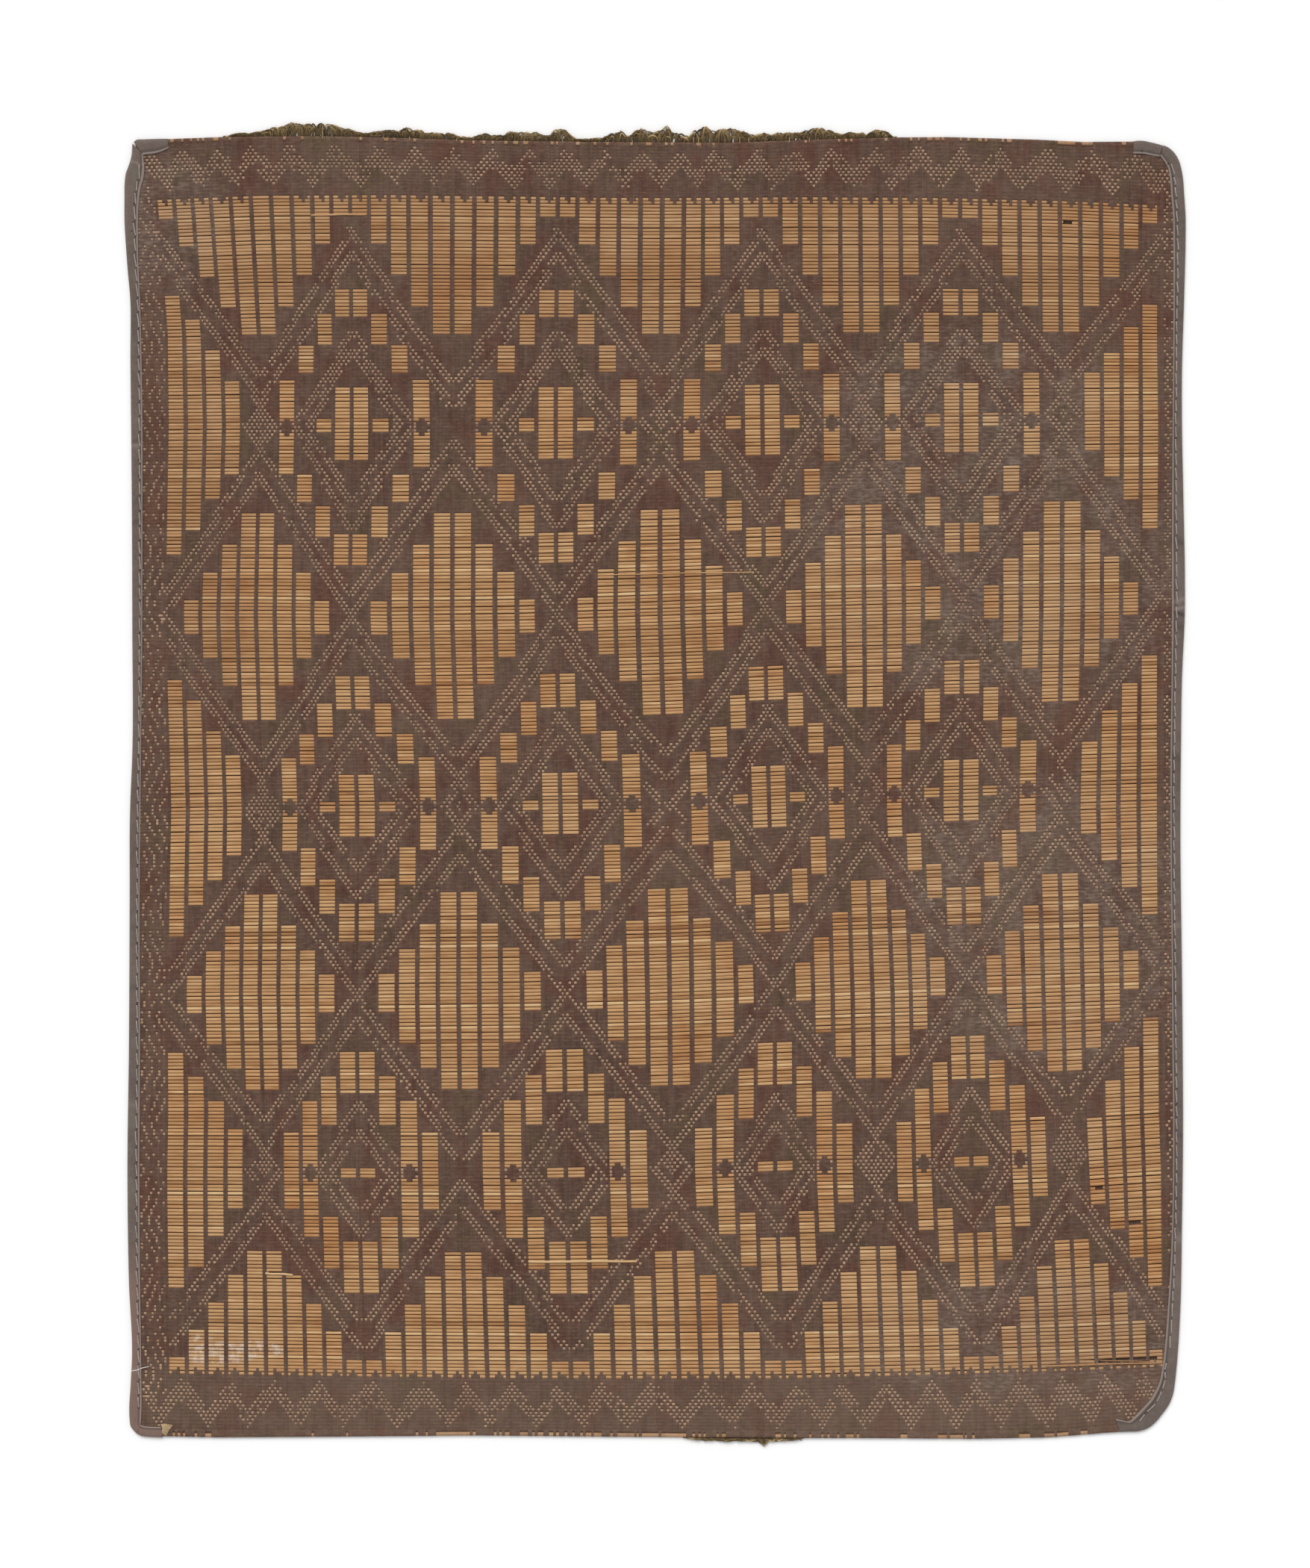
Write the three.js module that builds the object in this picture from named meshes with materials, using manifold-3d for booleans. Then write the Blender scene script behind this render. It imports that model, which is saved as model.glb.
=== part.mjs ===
import * as THREE from 'three';
import { mergeVertices } from 'three/addons/utils/BufferGeometryUtils.js';
import Module from 'manifold-3d';

const wasm = await Module();
wasm.setup();

// Driving sizes in millimetres. The mat lies flat, +X to its right edge, +Y to its top edge.
const reedCount = 371; // reeds between the two end rods
const valleyHeight = 4.0; // top of the weave between two reeds
const ridgeHeight = 5.0; // top of the weave over a reed
const ridgeUnevenness = 0.22; // how much one reed's top differs from the next
const reedSpread = 0.16; // how much one reed's thickness differs from the next, as a share
const rodWidth = 6.0;
const rodHeight = 3.7;
const leather = 1.0; // thickness of the bindings and corner patches
const clearance = 0.3; // gap between neighbouring pieces
const foldHeight = ridgeHeight + clearance + leather; // top face of a binding
const foldRound = 0.9; // chamfer on the fold of a binding
const underFlap = 6.0; // how far a side binding reaches under the mat
const patchUnderFlap = 4.4; // how far a corner patch reaches under its end rod
const sideFlap = 13.8; // how far a side binding reaches over the mat
const rebateWidth = 7.0; // relief in the underside of the weave above an under flap
const rebateDepth = leather + clearance;
const panelInset = leather + clearance + 0.2; // weave's edge inside the outer face of a binding
const endInset = rodWidth + clearance + 0.5; // weave's first reed inside the outer face of an end rod
const rodRun = 46; // length over which a rod's end lifts into its corner patch

// Fringe: short leather thongs on a narrow strip outside an end rod
const thongPitch = 7.2;
const thongWidth = 3.2;
const thongHeight = 2.4;
const tipWidth = 1.3;
const tipHeight = 0.9;
const stripWidth = 2.2;
const stripHeight = 1.6;
const shortThong = 8; // a thong shorter than this is straight
const thongSway = 1.5; // sideways lean of a thong's tip

// The outline's left side, from the top corner to the bottom corner
const leftEdge = [
  { x: -697.5, y: 862 },
  { x: -701.5, y: 839 },
  { x: -708.5, y: 818 },
  { x: -710.5, y: 800 },
  { x: -710.5, y: 755 },
  { x: -706.5, y: 692 },
  { x: -702.5, y: 569 },
  { x: -700.5, y: 350 },
  { x: -700.0, y: 41 },
  { x: -703.5, y: -154 },
  { x: -704.5, y: -350 },
  { x: -706.5, y: -525 },
  { x: -704.5, y: -666 },
  { x: -700.5, y: -771 },
  { x: -702.5, y: -830 },
  { x: -702.0, y: -858 },
  { x: -698.0, y: -863.5 },
  { x: -690.5, y: -871 },
];

// The outline's right side, with the wide curve at its bottom corner
const rightEdge = [
  { x: 681.5, y: 855 },
  { x: 687.0, y: 852.4 },
  { x: 695.5, y: 845 },
  { x: 701.5, y: 835 },
  { x: 704.5, y: 825 },
  { x: 708.5, y: 790 },
  { x: 710.5, y: 750 },
  { x: 708.5, y: 650 },
  { x: 705.5, y: 530 },
  { x: 707.5, y: 385 },
  { x: 709.5, y: 255 },
  { x: 705.5, y: 139 },
  { x: 704.0, y: -10 },
  { x: 705.5, y: -246 },
  { x: 707.0, y: -410 },
  { x: 705.5, y: -595 },
  { x: 702.5, y: -710 },
  { x: 698.5, y: -780 },
  { x: 696.5, y: -799 },
  { x: 693.5, y: -817 },
  { x: 688.5, y: -830 },
  { x: 679.0, y: -843.5 },
  { x: 669.5, y: -855 },
  { x: 660.5, y: -862 },
  { x: 649.5, y: -866 },
  { x: 633.5, y: -867 },
];

// The outline's top and bottom sides, left to right
const topEdge = [
  { x: -697.5, y: 862 },
  { x: -569.5, y: 867 },
  { x: -447.5, y: 868 },
  { x: -357.5, y: 866 },
  { x: -236.5, y: 862 },
  { x: 102.5, y: 859 },
  { x: 232.5, y: 864 },
  { x: 392.5, y: 866.5 },
  { x: 512.5, y: 863 },
  { x: 572.5, y: 860 },
  { x: 650.5, y: 860.5 },
  { x: 681.5, y: 855 },
];
const bottomEdge = [
  { x: -690.5, y: -871 },
  { x: -680.5, y: -873 },
  { x: -587.5, y: -875 },
  { x: -425.5, y: -874 },
  { x: -236.5, y: -872.5 },
  { x: 40.5, y: -875 },
  { x: 289.5, y: -876 },
  { x: 422.5, y: -877 },
  { x: 528.5, y: -875 },
  { x: 602.5, y: -869 },
  { x: 633.5, y: -867 },
];

// How far each level of reeds stands higher at the right edge than at the left
const reedSlant = [
  { y: 862, rise: 0 },
  { y: 790, rise: 2 },
  { y: 480, rise: 13 },
  { y: 225, rise: 26 },
  { y: -33, rise: 33 },
  { y: -280, rise: 29 },
  { y: -517, rise: 27 },
  { y: -626, rise: 18 },
  { y: -790, rise: 8 },
  { y: -873, rise: 0 },
];
const slantSpan = 1400; // width over which a reed rises by the table's amount

// Across the mat, the weave's levels bend at these places between its two edges
const bendLines = [-447.5, -236.5, 102.5, 392.5, 528.5];

// Corner patches: each row is a place on the patch's outer fold and the free edge opposite it
const topLeftPatch = [
  { x: -650.5, y: 865.3, tipX: -650.5, tipY: 851.5 },
  { x: -657.5, y: 865.0, tipX: -657.5, tipY: 846.3 },
  { x: -667.5, y: 864.6, tipX: -667.5, tipY: 843.4 },
  { x: -678.5, y: 864.0, tipX: -678.5, tipY: 842.0 },
  { x: -697.5, y: 863.3, tipX: -681.0, tipY: 844.0 },
  { x: -699.8, y: 857.5, tipX: -684.5, tipY: 850.0 },
];
const topRightPatch = [
  { x: 640.5, y: 861.8, tipX: 640.5, tipY: 841.0 },
  { x: 651.5, y: 862.2, tipX: 652.5, tipY: 840.0 },
  { x: 667.5, y: 859.3, tipX: 666.5, tipY: 840.0 },
  { x: 680.3, y: 857.0, tipX: 675.5, tipY: 841.0 },
];
const bottomLeftPatch = [
  { x: -692.9, y: -871.0, tipX: -687.9, tipY: -858.0 },
  { x: -687.5, y: -873.2, tipX: -681.5, tipY: -858.5 },
  { x: -677.5, y: -874.7, tipX: -671.5, tipY: -858.0 },
  { x: -665.5, y: -875.1, tipX: -659.5, tipY: -857.5 },
  { x: -656.5, y: -875.4, tipX: -646.0, tipY: -858.0 },
];

// The slanted seams where the side bindings meet the patches, and the right binding's free end
const leftStart = { x: -698.5, y: 855.8, tipX: -684.5, tipY: 848.8 };
const leftEnd = { x: -694.1, y: -868.4, tipX: -689.3, tipY: -856.5 };
const rightStart = { x: 682.7, y: 854.4, tipX: 677.9, tipY: 840.2 };
const rightEnd = { x: 616.0, y: -868.2, tipX: 614.5, tipY: -849.0 };

// Where the end rods stop, inside the patches or against the right binding's free end
const topRodSpan = { left: -694.5, right: 675 };
const bottomRodSpan = { left: -687.5, right: 614.6 };

// Fringe: how far the thongs reach out past the rod, by the place along it
const fringeRuns = [
  {
    name: 'fringe_top_left', side: 'top',
    reach: [
      { x: -572, out: 4 }, { x: -540, out: 6 }, { x: -522, out: 8 }, { x: -508, out: 13 },
      { x: -487, out: 19 }, { x: -470, out: 17 }, { x: -445, out: 18.5 }, { x: -420, out: 11.5 },
      { x: -398, out: 6 }, { x: -375, out: 8 }, { x: -357, out: 10 }, { x: -333, out: 15 },
      { x: -316, out: 12 }, { x: -300, out: 8 }, { x: -278, out: 10 }, { x: -252, out: 4 },
    ],
  },
  {
    name: 'fringe_top_mid', side: 'top',
    reach: [
      { x: -243, out: 4.5 }, { x: -226, out: 9.5 }, { x: -217, out: 7 }, { x: -196, out: 12 },
      { x: -160, out: 12 }, { x: -142, out: 7.5 }, { x: -127, out: 17 }, { x: -118, out: 15 },
      { x: -106, out: 4.5 },
    ],
  },
  {
    name: 'fringe_top_right', side: 'top',
    reach: [
      { x: -98, out: 4 }, { x: -70, out: 5 }, { x: -50, out: 14 }, { x: -36, out: 8 },
      { x: -19, out: 19 }, { x: -2, out: 14 }, { x: 16, out: 22 }, { x: 36, out: 13 },
      { x: 46, out: 7 }, { x: 54, out: 18 }, { x: 67, out: 24 }, { x: 80, out: 16 },
      { x: 98, out: 20 }, { x: 116, out: 17 }, { x: 134, out: 8 }, { x: 164, out: 11 },
      { x: 196, out: 9.5 }, { x: 213, out: 15 }, { x: 242, out: 8 }, { x: 284, out: 4 },
      { x: 293, out: 11.5 }, { x: 312, out: 7 }, { x: 320, out: 4 },
    ],
  },
  {
    name: 'fringe_bottom', side: 'bottom',
    reach: [
      { x: 41, out: 4 }, { x: 78, out: 5.5 }, { x: 120, out: 5 }, { x: 138, out: 6 },
      { x: 145, out: 11.5 }, { x: 152, out: 6 }, { x: 198, out: 4 },
    ],
  },
];

// Reads one column of a table at a place between its rows
function lookUp(table, column, place, wanted) {
  const rising = table[table.length - 1][column] > table[0][column];
  const rows = rising ? table : [...table].reverse();
  if (place <= rows[0][column]) return rows[0][wanted];
  for (let i = 1; i < rows.length; i += 1) {
    const low = rows[i - 1];
    const high = rows[i];
    if (place <= high[column]) {
      const share = (place - low[column]) / (high[column] - low[column]);
      return low[wanted] + share * (high[wanted] - low[wanted]);
    }
  }
  return rows[rows.length - 1][wanted];
}

// A steady, repeatable unevenness between -1 and 1 for a counted thing
function uneven(count, seed) {
  const turn = Math.sin(count * 12.9898 + seed * 78.233) * 43758.5453;
  return 2 * (turn - Math.floor(turn)) - 1;
}

// Moves a line of points sideways, mitred at each bend; side is 1 for left of its run, -1 for right
function offsetLine(line, distance, side) {
  return line.map((point, i) => {
    const before = line[Math.max(i - 1, 0)];
    const after = line[Math.min(i + 1, line.length - 1)];
    const into = new THREE.Vector2(point.x - before.x, point.y - before.y).normalize();
    const out = new THREE.Vector2(after.x - point.x, after.y - point.y).normalize();
    if (i === 0) into.copy(out);
    if (i === line.length - 1) out.copy(into);
    const along = into.clone().add(out).normalize();
    const across = new THREE.Vector2(-along.y, along.x).multiplyScalar(side);
    const stretch = 1 / Math.max(Math.abs(along.dot(into)), 0.5);
    return { x: point.x + across.x * distance * stretch, y: point.y + across.y * distance * stretch };
  });
}

// Closed geometry from points and triangles, turned so that its faces point out
function closedGeometry(points, triangles) {
  let volume = 0;
  for (const [a, b, c] of triangles) volume += points[a].dot(points[b].clone().cross(points[c]));
  const order = volume < 0 ? ([a, b, c]) => [a, c, b] : (triangle) => triangle;
  const geometry = new THREE.BufferGeometry();
  geometry.setAttribute('position', new THREE.Float32BufferAttribute(points.flatMap((p) => [p.x, p.y, p.z]), 3));
  geometry.setIndex(triangles.flatMap(order));
  geometry.computeVertexNormals();
  return geometry;
}

// Joins rings of equal count into one closed body, its two ends filled from a flat section
function loftedGeometry(rings, section) {
  const count = section.length;
  const points = rings.flat();
  const triangles = [];
  for (let i = 0; i + 1 < rings.length; i += 1) {
    for (let j = 0; j < count; j += 1) {
      const next = (j + 1) % count;
      const near = i * count;
      const far = near + count;
      triangles.push([near + j, near + next, far + next], [near + j, far + next, far + j]);
    }
  }
  const last = (rings.length - 1) * count;
  for (const [a, b, c] of THREE.ShapeUtils.triangulateShape(section, [])) {
    triangles.push([a, c, b], [last + a, last + b, last + c]);
  }
  return closedGeometry(points, triangles);
}

// Fills the strip between two lines of points whose counts differ, by their share of the way
function fillBetween(lineA, lineB, shareA, shareB) {
  const triangles = [];
  let a = 0;
  let b = 0;
  while (a + 1 < lineA.length || b + 1 < lineB.length) {
    const stepA = b + 1 >= lineB.length || (a + 1 < lineA.length && shareA[a + 1] <= shareB[b + 1]);
    if (stepA) {
      triangles.push([lineA[a], lineA[a + 1], lineB[b]]);
      a += 1;
    } else {
      triangles.push([lineA[a], lineB[b + 1], lineB[b]]);
      b += 1;
    }
  }
  return triangles;
}

// The woven panel: every reed is a ridge across the top, the underside is flat
const topLine = offsetLine(topEdge, endInset, -1);
const bottomLine = offsetLine(bottomEdge, endInset, 1);
const panelLeft = offsetLine(leftEdge, panelInset, 1);
const panelRight = offsetLine(rightEdge, panelInset, -1);
const rebateLeft = offsetLine(leftEdge, rebateWidth, 1);
const rebateRight = offsetLine(rightEdge, rebateWidth, -1);

function reedShares() {
  const shares = [0];
  for (let reed = 0; reed < reedCount; reed += 1) {
    const width = 1 + reedSpread * uneven(reed, 3);
    const start = shares[shares.length - 1];
    shares.push(start + width / 2, start + width);
  }
  const total = shares[shares.length - 1];
  return shares.map((share) => share / total);
}

function levelAt(share, x) {
  const high = lookUp(topLine, 'x', x, 'y');
  const low = lookUp(bottomLine, 'x', x, 'y');
  const level = high + share * (low - high);
  return level + lookUp(reedSlant, 'y', level, 'rise') * (x / slantSpan);
}

// One level across the weave: x and y at the left edge, the bend lines and the right edge
function levelPoints(share, leftLine, rightLine) {
  const leftY = levelAt(share, leftEdge[0].x);
  const rightY = levelAt(share, rightEdge[0].x);
  const left = { x: lookUp(leftLine, 'y', leftY, 'x'), y: leftY };
  const right = { x: lookUp(rightLine, 'y', rightY, 'x'), y: rightY };
  return [left, ...bendLines.map((x) => ({ x, y: levelAt(share, x) })), right];
}

function wovenPanelGeometry() {
  const shares = reedShares();
  const lastLevel = shares.length - 1;
  const points = [];
  const triangles = [];
  const columns = bendLines.length + 2;

  shares.forEach((share, level) => {
    const ridge = level % 2 === 1;
    const height = ridge ? ridgeHeight - ridgeUnevenness * Math.abs(uneven(level, 7)) : valleyHeight;
    levelPoints(share, panelLeft, panelRight).forEach((p) => points.push(new THREE.Vector3(p.x, p.y, height)));
  });
  for (let level = 0; level < lastLevel; level += 1) {
    for (let column = 0; column + 1 < columns; column += 1) {
      const a = level * columns + column;
      const b = a + columns;
      triangles.push([a, b, a + 1], [a + 1, b, b + 1]);
    }
  }

  // The underside follows the top at the levels where an edge bends
  const bends = new Set([0, lastLevel]);
  for (const [line, x] of [[panelLeft, leftEdge[0].x], [panelRight, rightEdge[0].x]]) {
    for (const bend of line) {
      let nearest = 0;
      shares.forEach((share, level) => {
        const better = Math.abs(levelAt(share, x) - bend.y) < Math.abs(levelAt(shares[nearest], x) - bend.y);
        if (better) nearest = level;
      });
      bends.add(nearest);
    }
  }
  const underLevels = [...bends].sort((a, b) => a - b);
  const underStart = points.length;
  const underColumns = columns + 4;
  for (const level of underLevels) {
    const edge = levelPoints(shares[level], panelLeft, panelRight);
    const rebate = levelPoints(shares[level], rebateLeft, rebateRight);
    const first = rebate[0];
    const last = rebate[rebate.length - 1];
    const row = [
      { ...edge[0], z: rebateDepth }, { ...first, z: rebateDepth }, { ...first, z: 0 },
      ...edge.slice(1, -1).map((p) => ({ ...p, z: 0 })),
      { ...last, z: 0 }, { ...last, z: rebateDepth }, { ...edge[edge.length - 1], z: rebateDepth },
    ];
    row.forEach((p) => points.push(new THREE.Vector3(p.x, p.y, p.z)));
  }
  for (let row = 0; row + 1 < underLevels.length; row += 1) {
    for (let column = 0; column + 1 < underColumns; column += 1) {
      const a = underStart + row * underColumns + column;
      const b = a + underColumns;
      triangles.push([a, a + 1, b], [a + 1, b + 1, b]);
    }
  }

  // Side walls between the ribbed edge and the underside
  for (const right of [false, true]) {
    const upper = shares.map((share, level) => level * columns + (right ? columns - 1 : 0));
    const lower = underLevels.map((level, row) => underStart + row * underColumns + (right ? underColumns - 1 : 0));
    const wall = fillBetween(upper, lower, shares, underLevels.map((level) => shares[level]));
    wall.forEach(([a, b, c]) => triangles.push(right ? [a, b, c] : [a, c, b]));
  }

  // End walls under the first and last level
  for (const end of [false, true]) {
    const upper = Array.from({ length: columns }, (_, column) => (end ? lastLevel * columns : 0) + column);
    const lowerStart = underStart + (end ? underLevels.length - 1 : 0) * underColumns;
    const lower = Array.from({ length: underColumns }, (_, column) => lowerStart + column);
    const placeUpper = upper.map((i) => points[i].x);
    const placeLower = lower.map((i) => points[i].x);
    const wall = fillBetween(upper, lower, placeUpper, placeLower);
    wall.forEach(([a, b, c]) => triangles.push(end ? [a, c, b] : [a, b, c]));
  }
  return closedGeometry(points, triangles);
}

// Section of folded leather: s runs in from the fold, z up from the floor
function foldSection(overFlap, flapUnder) {
  const cavityTop = foldHeight - leather;
  return [
    [overFlap, foldHeight], [foldRound, foldHeight], [0, foldHeight - foldRound], [0, foldRound],
    [foldRound, 0], [flapUnder, 0], [flapUnder, leather], [leather, leather],
    [leather, cavityTop], [overFlap, cavityTop],
  ].map(([s, z]) => new THREE.Vector2(s, z));
}

// Folded leather along a run of places, each with its fold and the free edge opposite
function foldedLeatherGeometry(stations, flapUnder) {
  const rings = stations.map((station) => {
    const inward = new THREE.Vector2(station.tipX - station.x, station.tipY - station.y);
    const flap = inward.length();
    inward.normalize();
    return foldSection(flap, flapUnder).map((p) => new THREE.Vector3(
      station.x + inward.x * p.x, station.y + inward.y * p.x, p.y));
  });
  return loftedGeometry(rings, foldSection(sideFlap, flapUnder));
}

function sideStations(edge, side, start, end) {
  const inner = offsetLine(edge, sideFlap, side);
  const places = edge.map((point, i) => {
    const reach = new THREE.Vector2(inner[i].x - point.x, inner[i].y - point.y).setLength(
      sideFlap + 0.8 * uneven(i, side + 5));
    return { x: point.x, y: point.y, tipX: point.x + reach.x, tipY: point.y + reach.y };
  });
  const seamClearance = 1.5; // a place nearer than this to a seam's level is taken over by it
  const inside = places.filter((p) => p.y < start.y - seamClearance && p.y > end.y + seamClearance);
  return [start, ...inside, end];
}

// End rod: a thick reed along the outline, lifted at its ends where a patch goes under it
function endRodGeometry(edge, side, span, liftsRight) {
  const sides = 8;
  const lift = (x) => {
    const near = Math.max(0, 1 - (x - span.left - rodRun) / rodRun);
    const far = liftsRight ? Math.max(0, 1 - (span.right - rodRun - x) / rodRun) : 0;
    return rebateDepth * Math.min(1, Math.max(near, far));
  };
  const places = [span.left, span.left + rodRun, span.left + 2 * rodRun];
  edge.forEach((point) => {
    if (point.x > span.left + 2 * rodRun + 5 && point.x < span.right - 2 * rodRun - 5) places.push(point.x);
  });
  places.push(span.right - 2 * rodRun, span.right - rodRun, span.right);
  const outer = places.map((x) => ({ x, y: lookUp(edge, 'x', x, 'y') }));
  const middle = offsetLine(outer, rodWidth / 2, side);
  const inner = offsetLine(outer, rodWidth, side);
  const section = Array.from({ length: sides }, (_, j) => {
    const turn = ((j + 0.5) / sides) * 2 * Math.PI;
    return new THREE.Vector2(Math.cos(turn), Math.sin(turn)).divideScalar(Math.cos(Math.PI / sides));
  });
  const rings = middle.map((centre, i) => section.map((p) => new THREE.Vector3(
    centre.x + (inner[i].x - centre.x) * p.x,
    centre.y + (inner[i].y - centre.y) * p.x,
    lift(centre.x) + (rodHeight / 2) * (1 + p.y))));
  return loftedGeometry(rings, section);
}

// Fringe
function toSolid(geometry) {
  const bare = geometry.clone();
  bare.deleteAttribute('normal');
  const merged = mergeVertices(bare, 1e-4);
  return new wasm.Manifold(new wasm.Mesh({
    numProp: 3,
    vertProperties: new Float32Array(merged.attributes.position.array),
    triVerts: new Uint32Array(merged.index.array),
  }));
}

function toGeometry(solid) {
  const mesh = solid.getMesh();
  const geometry = new THREE.BufferGeometry();
  geometry.setAttribute('position', new THREE.BufferAttribute(new Float32Array(mesh.vertProperties), 3));
  geometry.setIndex(new THREE.BufferAttribute(new Uint32Array(mesh.triVerts), 1));
  geometry.computeVertexNormals();
  return geometry;
}

// One thong: three-sided, level underneath, from inside the strip to its tip
function thongGeometry(root, out, length, lean) {
  const bends = length > shortThong ? 3 : 2;
  const section = [new THREE.Vector2(-0.5, 0), new THREE.Vector2(0.5, 0), new THREE.Vector2(0, 1)];
  const rings = Array.from({ length: bends }, (_, i) => {
    const share = i / (bends - 1);
    const width = thongWidth + share * (tipWidth - thongWidth);
    const height = thongHeight + share * (tipHeight - thongHeight);
    const sway = lean * share * share;
    return section.map((p) => new THREE.Vector3(
      root.x + sway + p.x * width, root.y + out * length * share, p.y * height));
  });
  return loftedGeometry(rings, section);
}

function fringeGeometry(run) {
  const edge = run.side === 'top' ? topEdge : bottomEdge;
  const out = run.side === 'top' ? 1 : -1;
  const first = run.reach[0].x;
  const last = run.reach[run.reach.length - 1].x;
  const halfPitch = thongPitch / 2;
  const bends = edge.map((point) => point.x).filter((x) => x > first && x < last);
  const line = [first - halfPitch, ...bends, last + halfPitch].map((x) => ({ x, y: lookUp(edge, 'x', x, 'y') }));
  const near = offsetLine(line, clearance, out);
  const far = offsetLine(line, clearance + stripWidth, out);
  const section = [[0, 0], [1, 0], [1, 1], [0, 1]].map(([s, z]) => new THREE.Vector2(s, z));
  const rings = line.map((_, i) => section.map((p) => new THREE.Vector3(
    near[i].x + (far[i].x - near[i].x) * p.x,
    near[i].y + (far[i].y - near[i].y) * p.x,
    p.y * stripHeight)));
  let solid = toSolid(loftedGeometry(rings, section));
  const count = Math.round((last - first) / thongPitch);
  for (let i = 0; i <= count; i += 1) {
    const x = first + ((last - first) * i) / count;
    const rootDepth = clearance + stripWidth / 2;
    const root = { x, y: lookUp(edge, 'x', x, 'y') + out * rootDepth };
    const reach = lookUp(run.reach, 'x', x, 'out') - rootDepth;
    const lean = thongSway * Math.sin(x / 23) + 0.7 * uneven(i, 11);
    solid = solid.add(toSolid(thongGeometry(root, out, reach, lean)));
  }
  return toGeometry(solid);
}

// Materials
function finish(color, roughness) {
  return new THREE.MeshStandardMaterial({ color, roughness, metalness: 0, flatShading: true });
}

const weave = finish(0x7a6450, 0.75);
const bindingLeather = finish(0x71655f, 0.6);
const patchLeather = finish(0x7d7270, 0.6);
const rodFinish = finish(0x6a5a48, 0.7);
const fringeLeather = finish(0x54452c, 0.8);

// The mat
const mat = new THREE.Group();

function addPiece(name, geometry, material) {
  const piece = new THREE.Mesh(geometry, material);
  piece.name = name;
  mat.add(piece);
}

addPiece('woven_panel', wovenPanelGeometry(), weave);
const leftRun = sideStations(leftEdge, 1, leftStart, leftEnd);
const rightRun = sideStations(rightEdge, -1, rightStart, rightEnd);
addPiece('binding_left', foldedLeatherGeometry(leftRun, underFlap), bindingLeather);
addPiece('binding_right', foldedLeatherGeometry(rightRun, underFlap), bindingLeather);
addPiece('corner_top_left', foldedLeatherGeometry(topLeftPatch, patchUnderFlap), patchLeather);
addPiece('corner_top_right', foldedLeatherGeometry(topRightPatch, patchUnderFlap), patchLeather);
addPiece('corner_bottom_left', foldedLeatherGeometry(bottomLeftPatch, patchUnderFlap), patchLeather);
addPiece('end_rod_top', endRodGeometry(topEdge, -1, topRodSpan, true), rodFinish);
addPiece('end_rod_bottom', endRodGeometry(bottomEdge, 1, bottomRodSpan, false), rodFinish);
fringeRuns.forEach((run) => addPiece(run.name, fringeGeometry(run), fringeLeather));

// The origin is the middle of the whole outline, on the floor
const box = new THREE.Box3().setFromObject(mat);
const middle = box.getCenter(new THREE.Vector3());
mat.children.forEach((piece) => piece.position.set(-middle.x, -middle.y, -box.min.z));

export default mat;
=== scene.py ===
import bpy
import bmesh
import math
import numpy as np
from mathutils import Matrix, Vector


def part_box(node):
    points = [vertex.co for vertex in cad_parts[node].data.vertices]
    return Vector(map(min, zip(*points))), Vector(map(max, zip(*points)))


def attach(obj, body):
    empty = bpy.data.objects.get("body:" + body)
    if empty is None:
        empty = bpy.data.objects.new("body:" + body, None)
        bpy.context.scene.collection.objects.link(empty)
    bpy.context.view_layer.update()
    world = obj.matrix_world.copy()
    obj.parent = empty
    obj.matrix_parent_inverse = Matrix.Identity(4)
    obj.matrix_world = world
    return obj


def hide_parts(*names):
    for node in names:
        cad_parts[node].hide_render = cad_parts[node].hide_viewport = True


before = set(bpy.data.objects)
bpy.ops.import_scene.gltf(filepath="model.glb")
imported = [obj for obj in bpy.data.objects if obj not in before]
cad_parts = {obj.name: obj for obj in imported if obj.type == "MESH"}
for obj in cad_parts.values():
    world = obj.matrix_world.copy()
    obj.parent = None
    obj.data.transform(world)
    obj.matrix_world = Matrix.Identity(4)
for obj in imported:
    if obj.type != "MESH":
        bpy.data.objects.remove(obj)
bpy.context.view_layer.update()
print("mat: frame loaded")

# Places are charted in millimetres on a layout sheet: across from its left side, down from its top side
layout = {
    "width": 1755.0,
    "height": 2100.0,
    "patchTop": 0.8653,  # highest point of the top left patch on the sheet, in metres from its middle
}
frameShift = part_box("corner_top_left")[1].y - layout["patchTop"]


def toFrame(across, down):
    x = (np.asarray(across, float) - layout["width"] / 2) / 1000
    y = (layout["height"] / 2 - np.asarray(down, float)) / 1000 + frameShift
    return x, y


def toPoints(across, down, high):
    # points in the frame from places on the sheet and heights over the floor
    x, y = toFrame(across, down)
    return np.stack([x, y, np.broadcast_to(np.asarray(high, float) / 1000, x.shape)], axis=1)


def linked(name, data):
    thing = bpy.data.objects.new(name, data)
    bpy.context.scene.collection.objects.link(thing)
    return thing


def meshPiece(name, points, faces, finish=None):
    mesh = bpy.data.meshes.new(name)
    mesh.from_pydata([tuple(p) for p in points], [], faces)
    mesh.polygons.foreach_set("use_smooth", [True] * len(mesh.polygons))
    mesh.update()
    if finish is not None:
        mesh.materials.append(finish)
    return linked(name, mesh)


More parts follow.
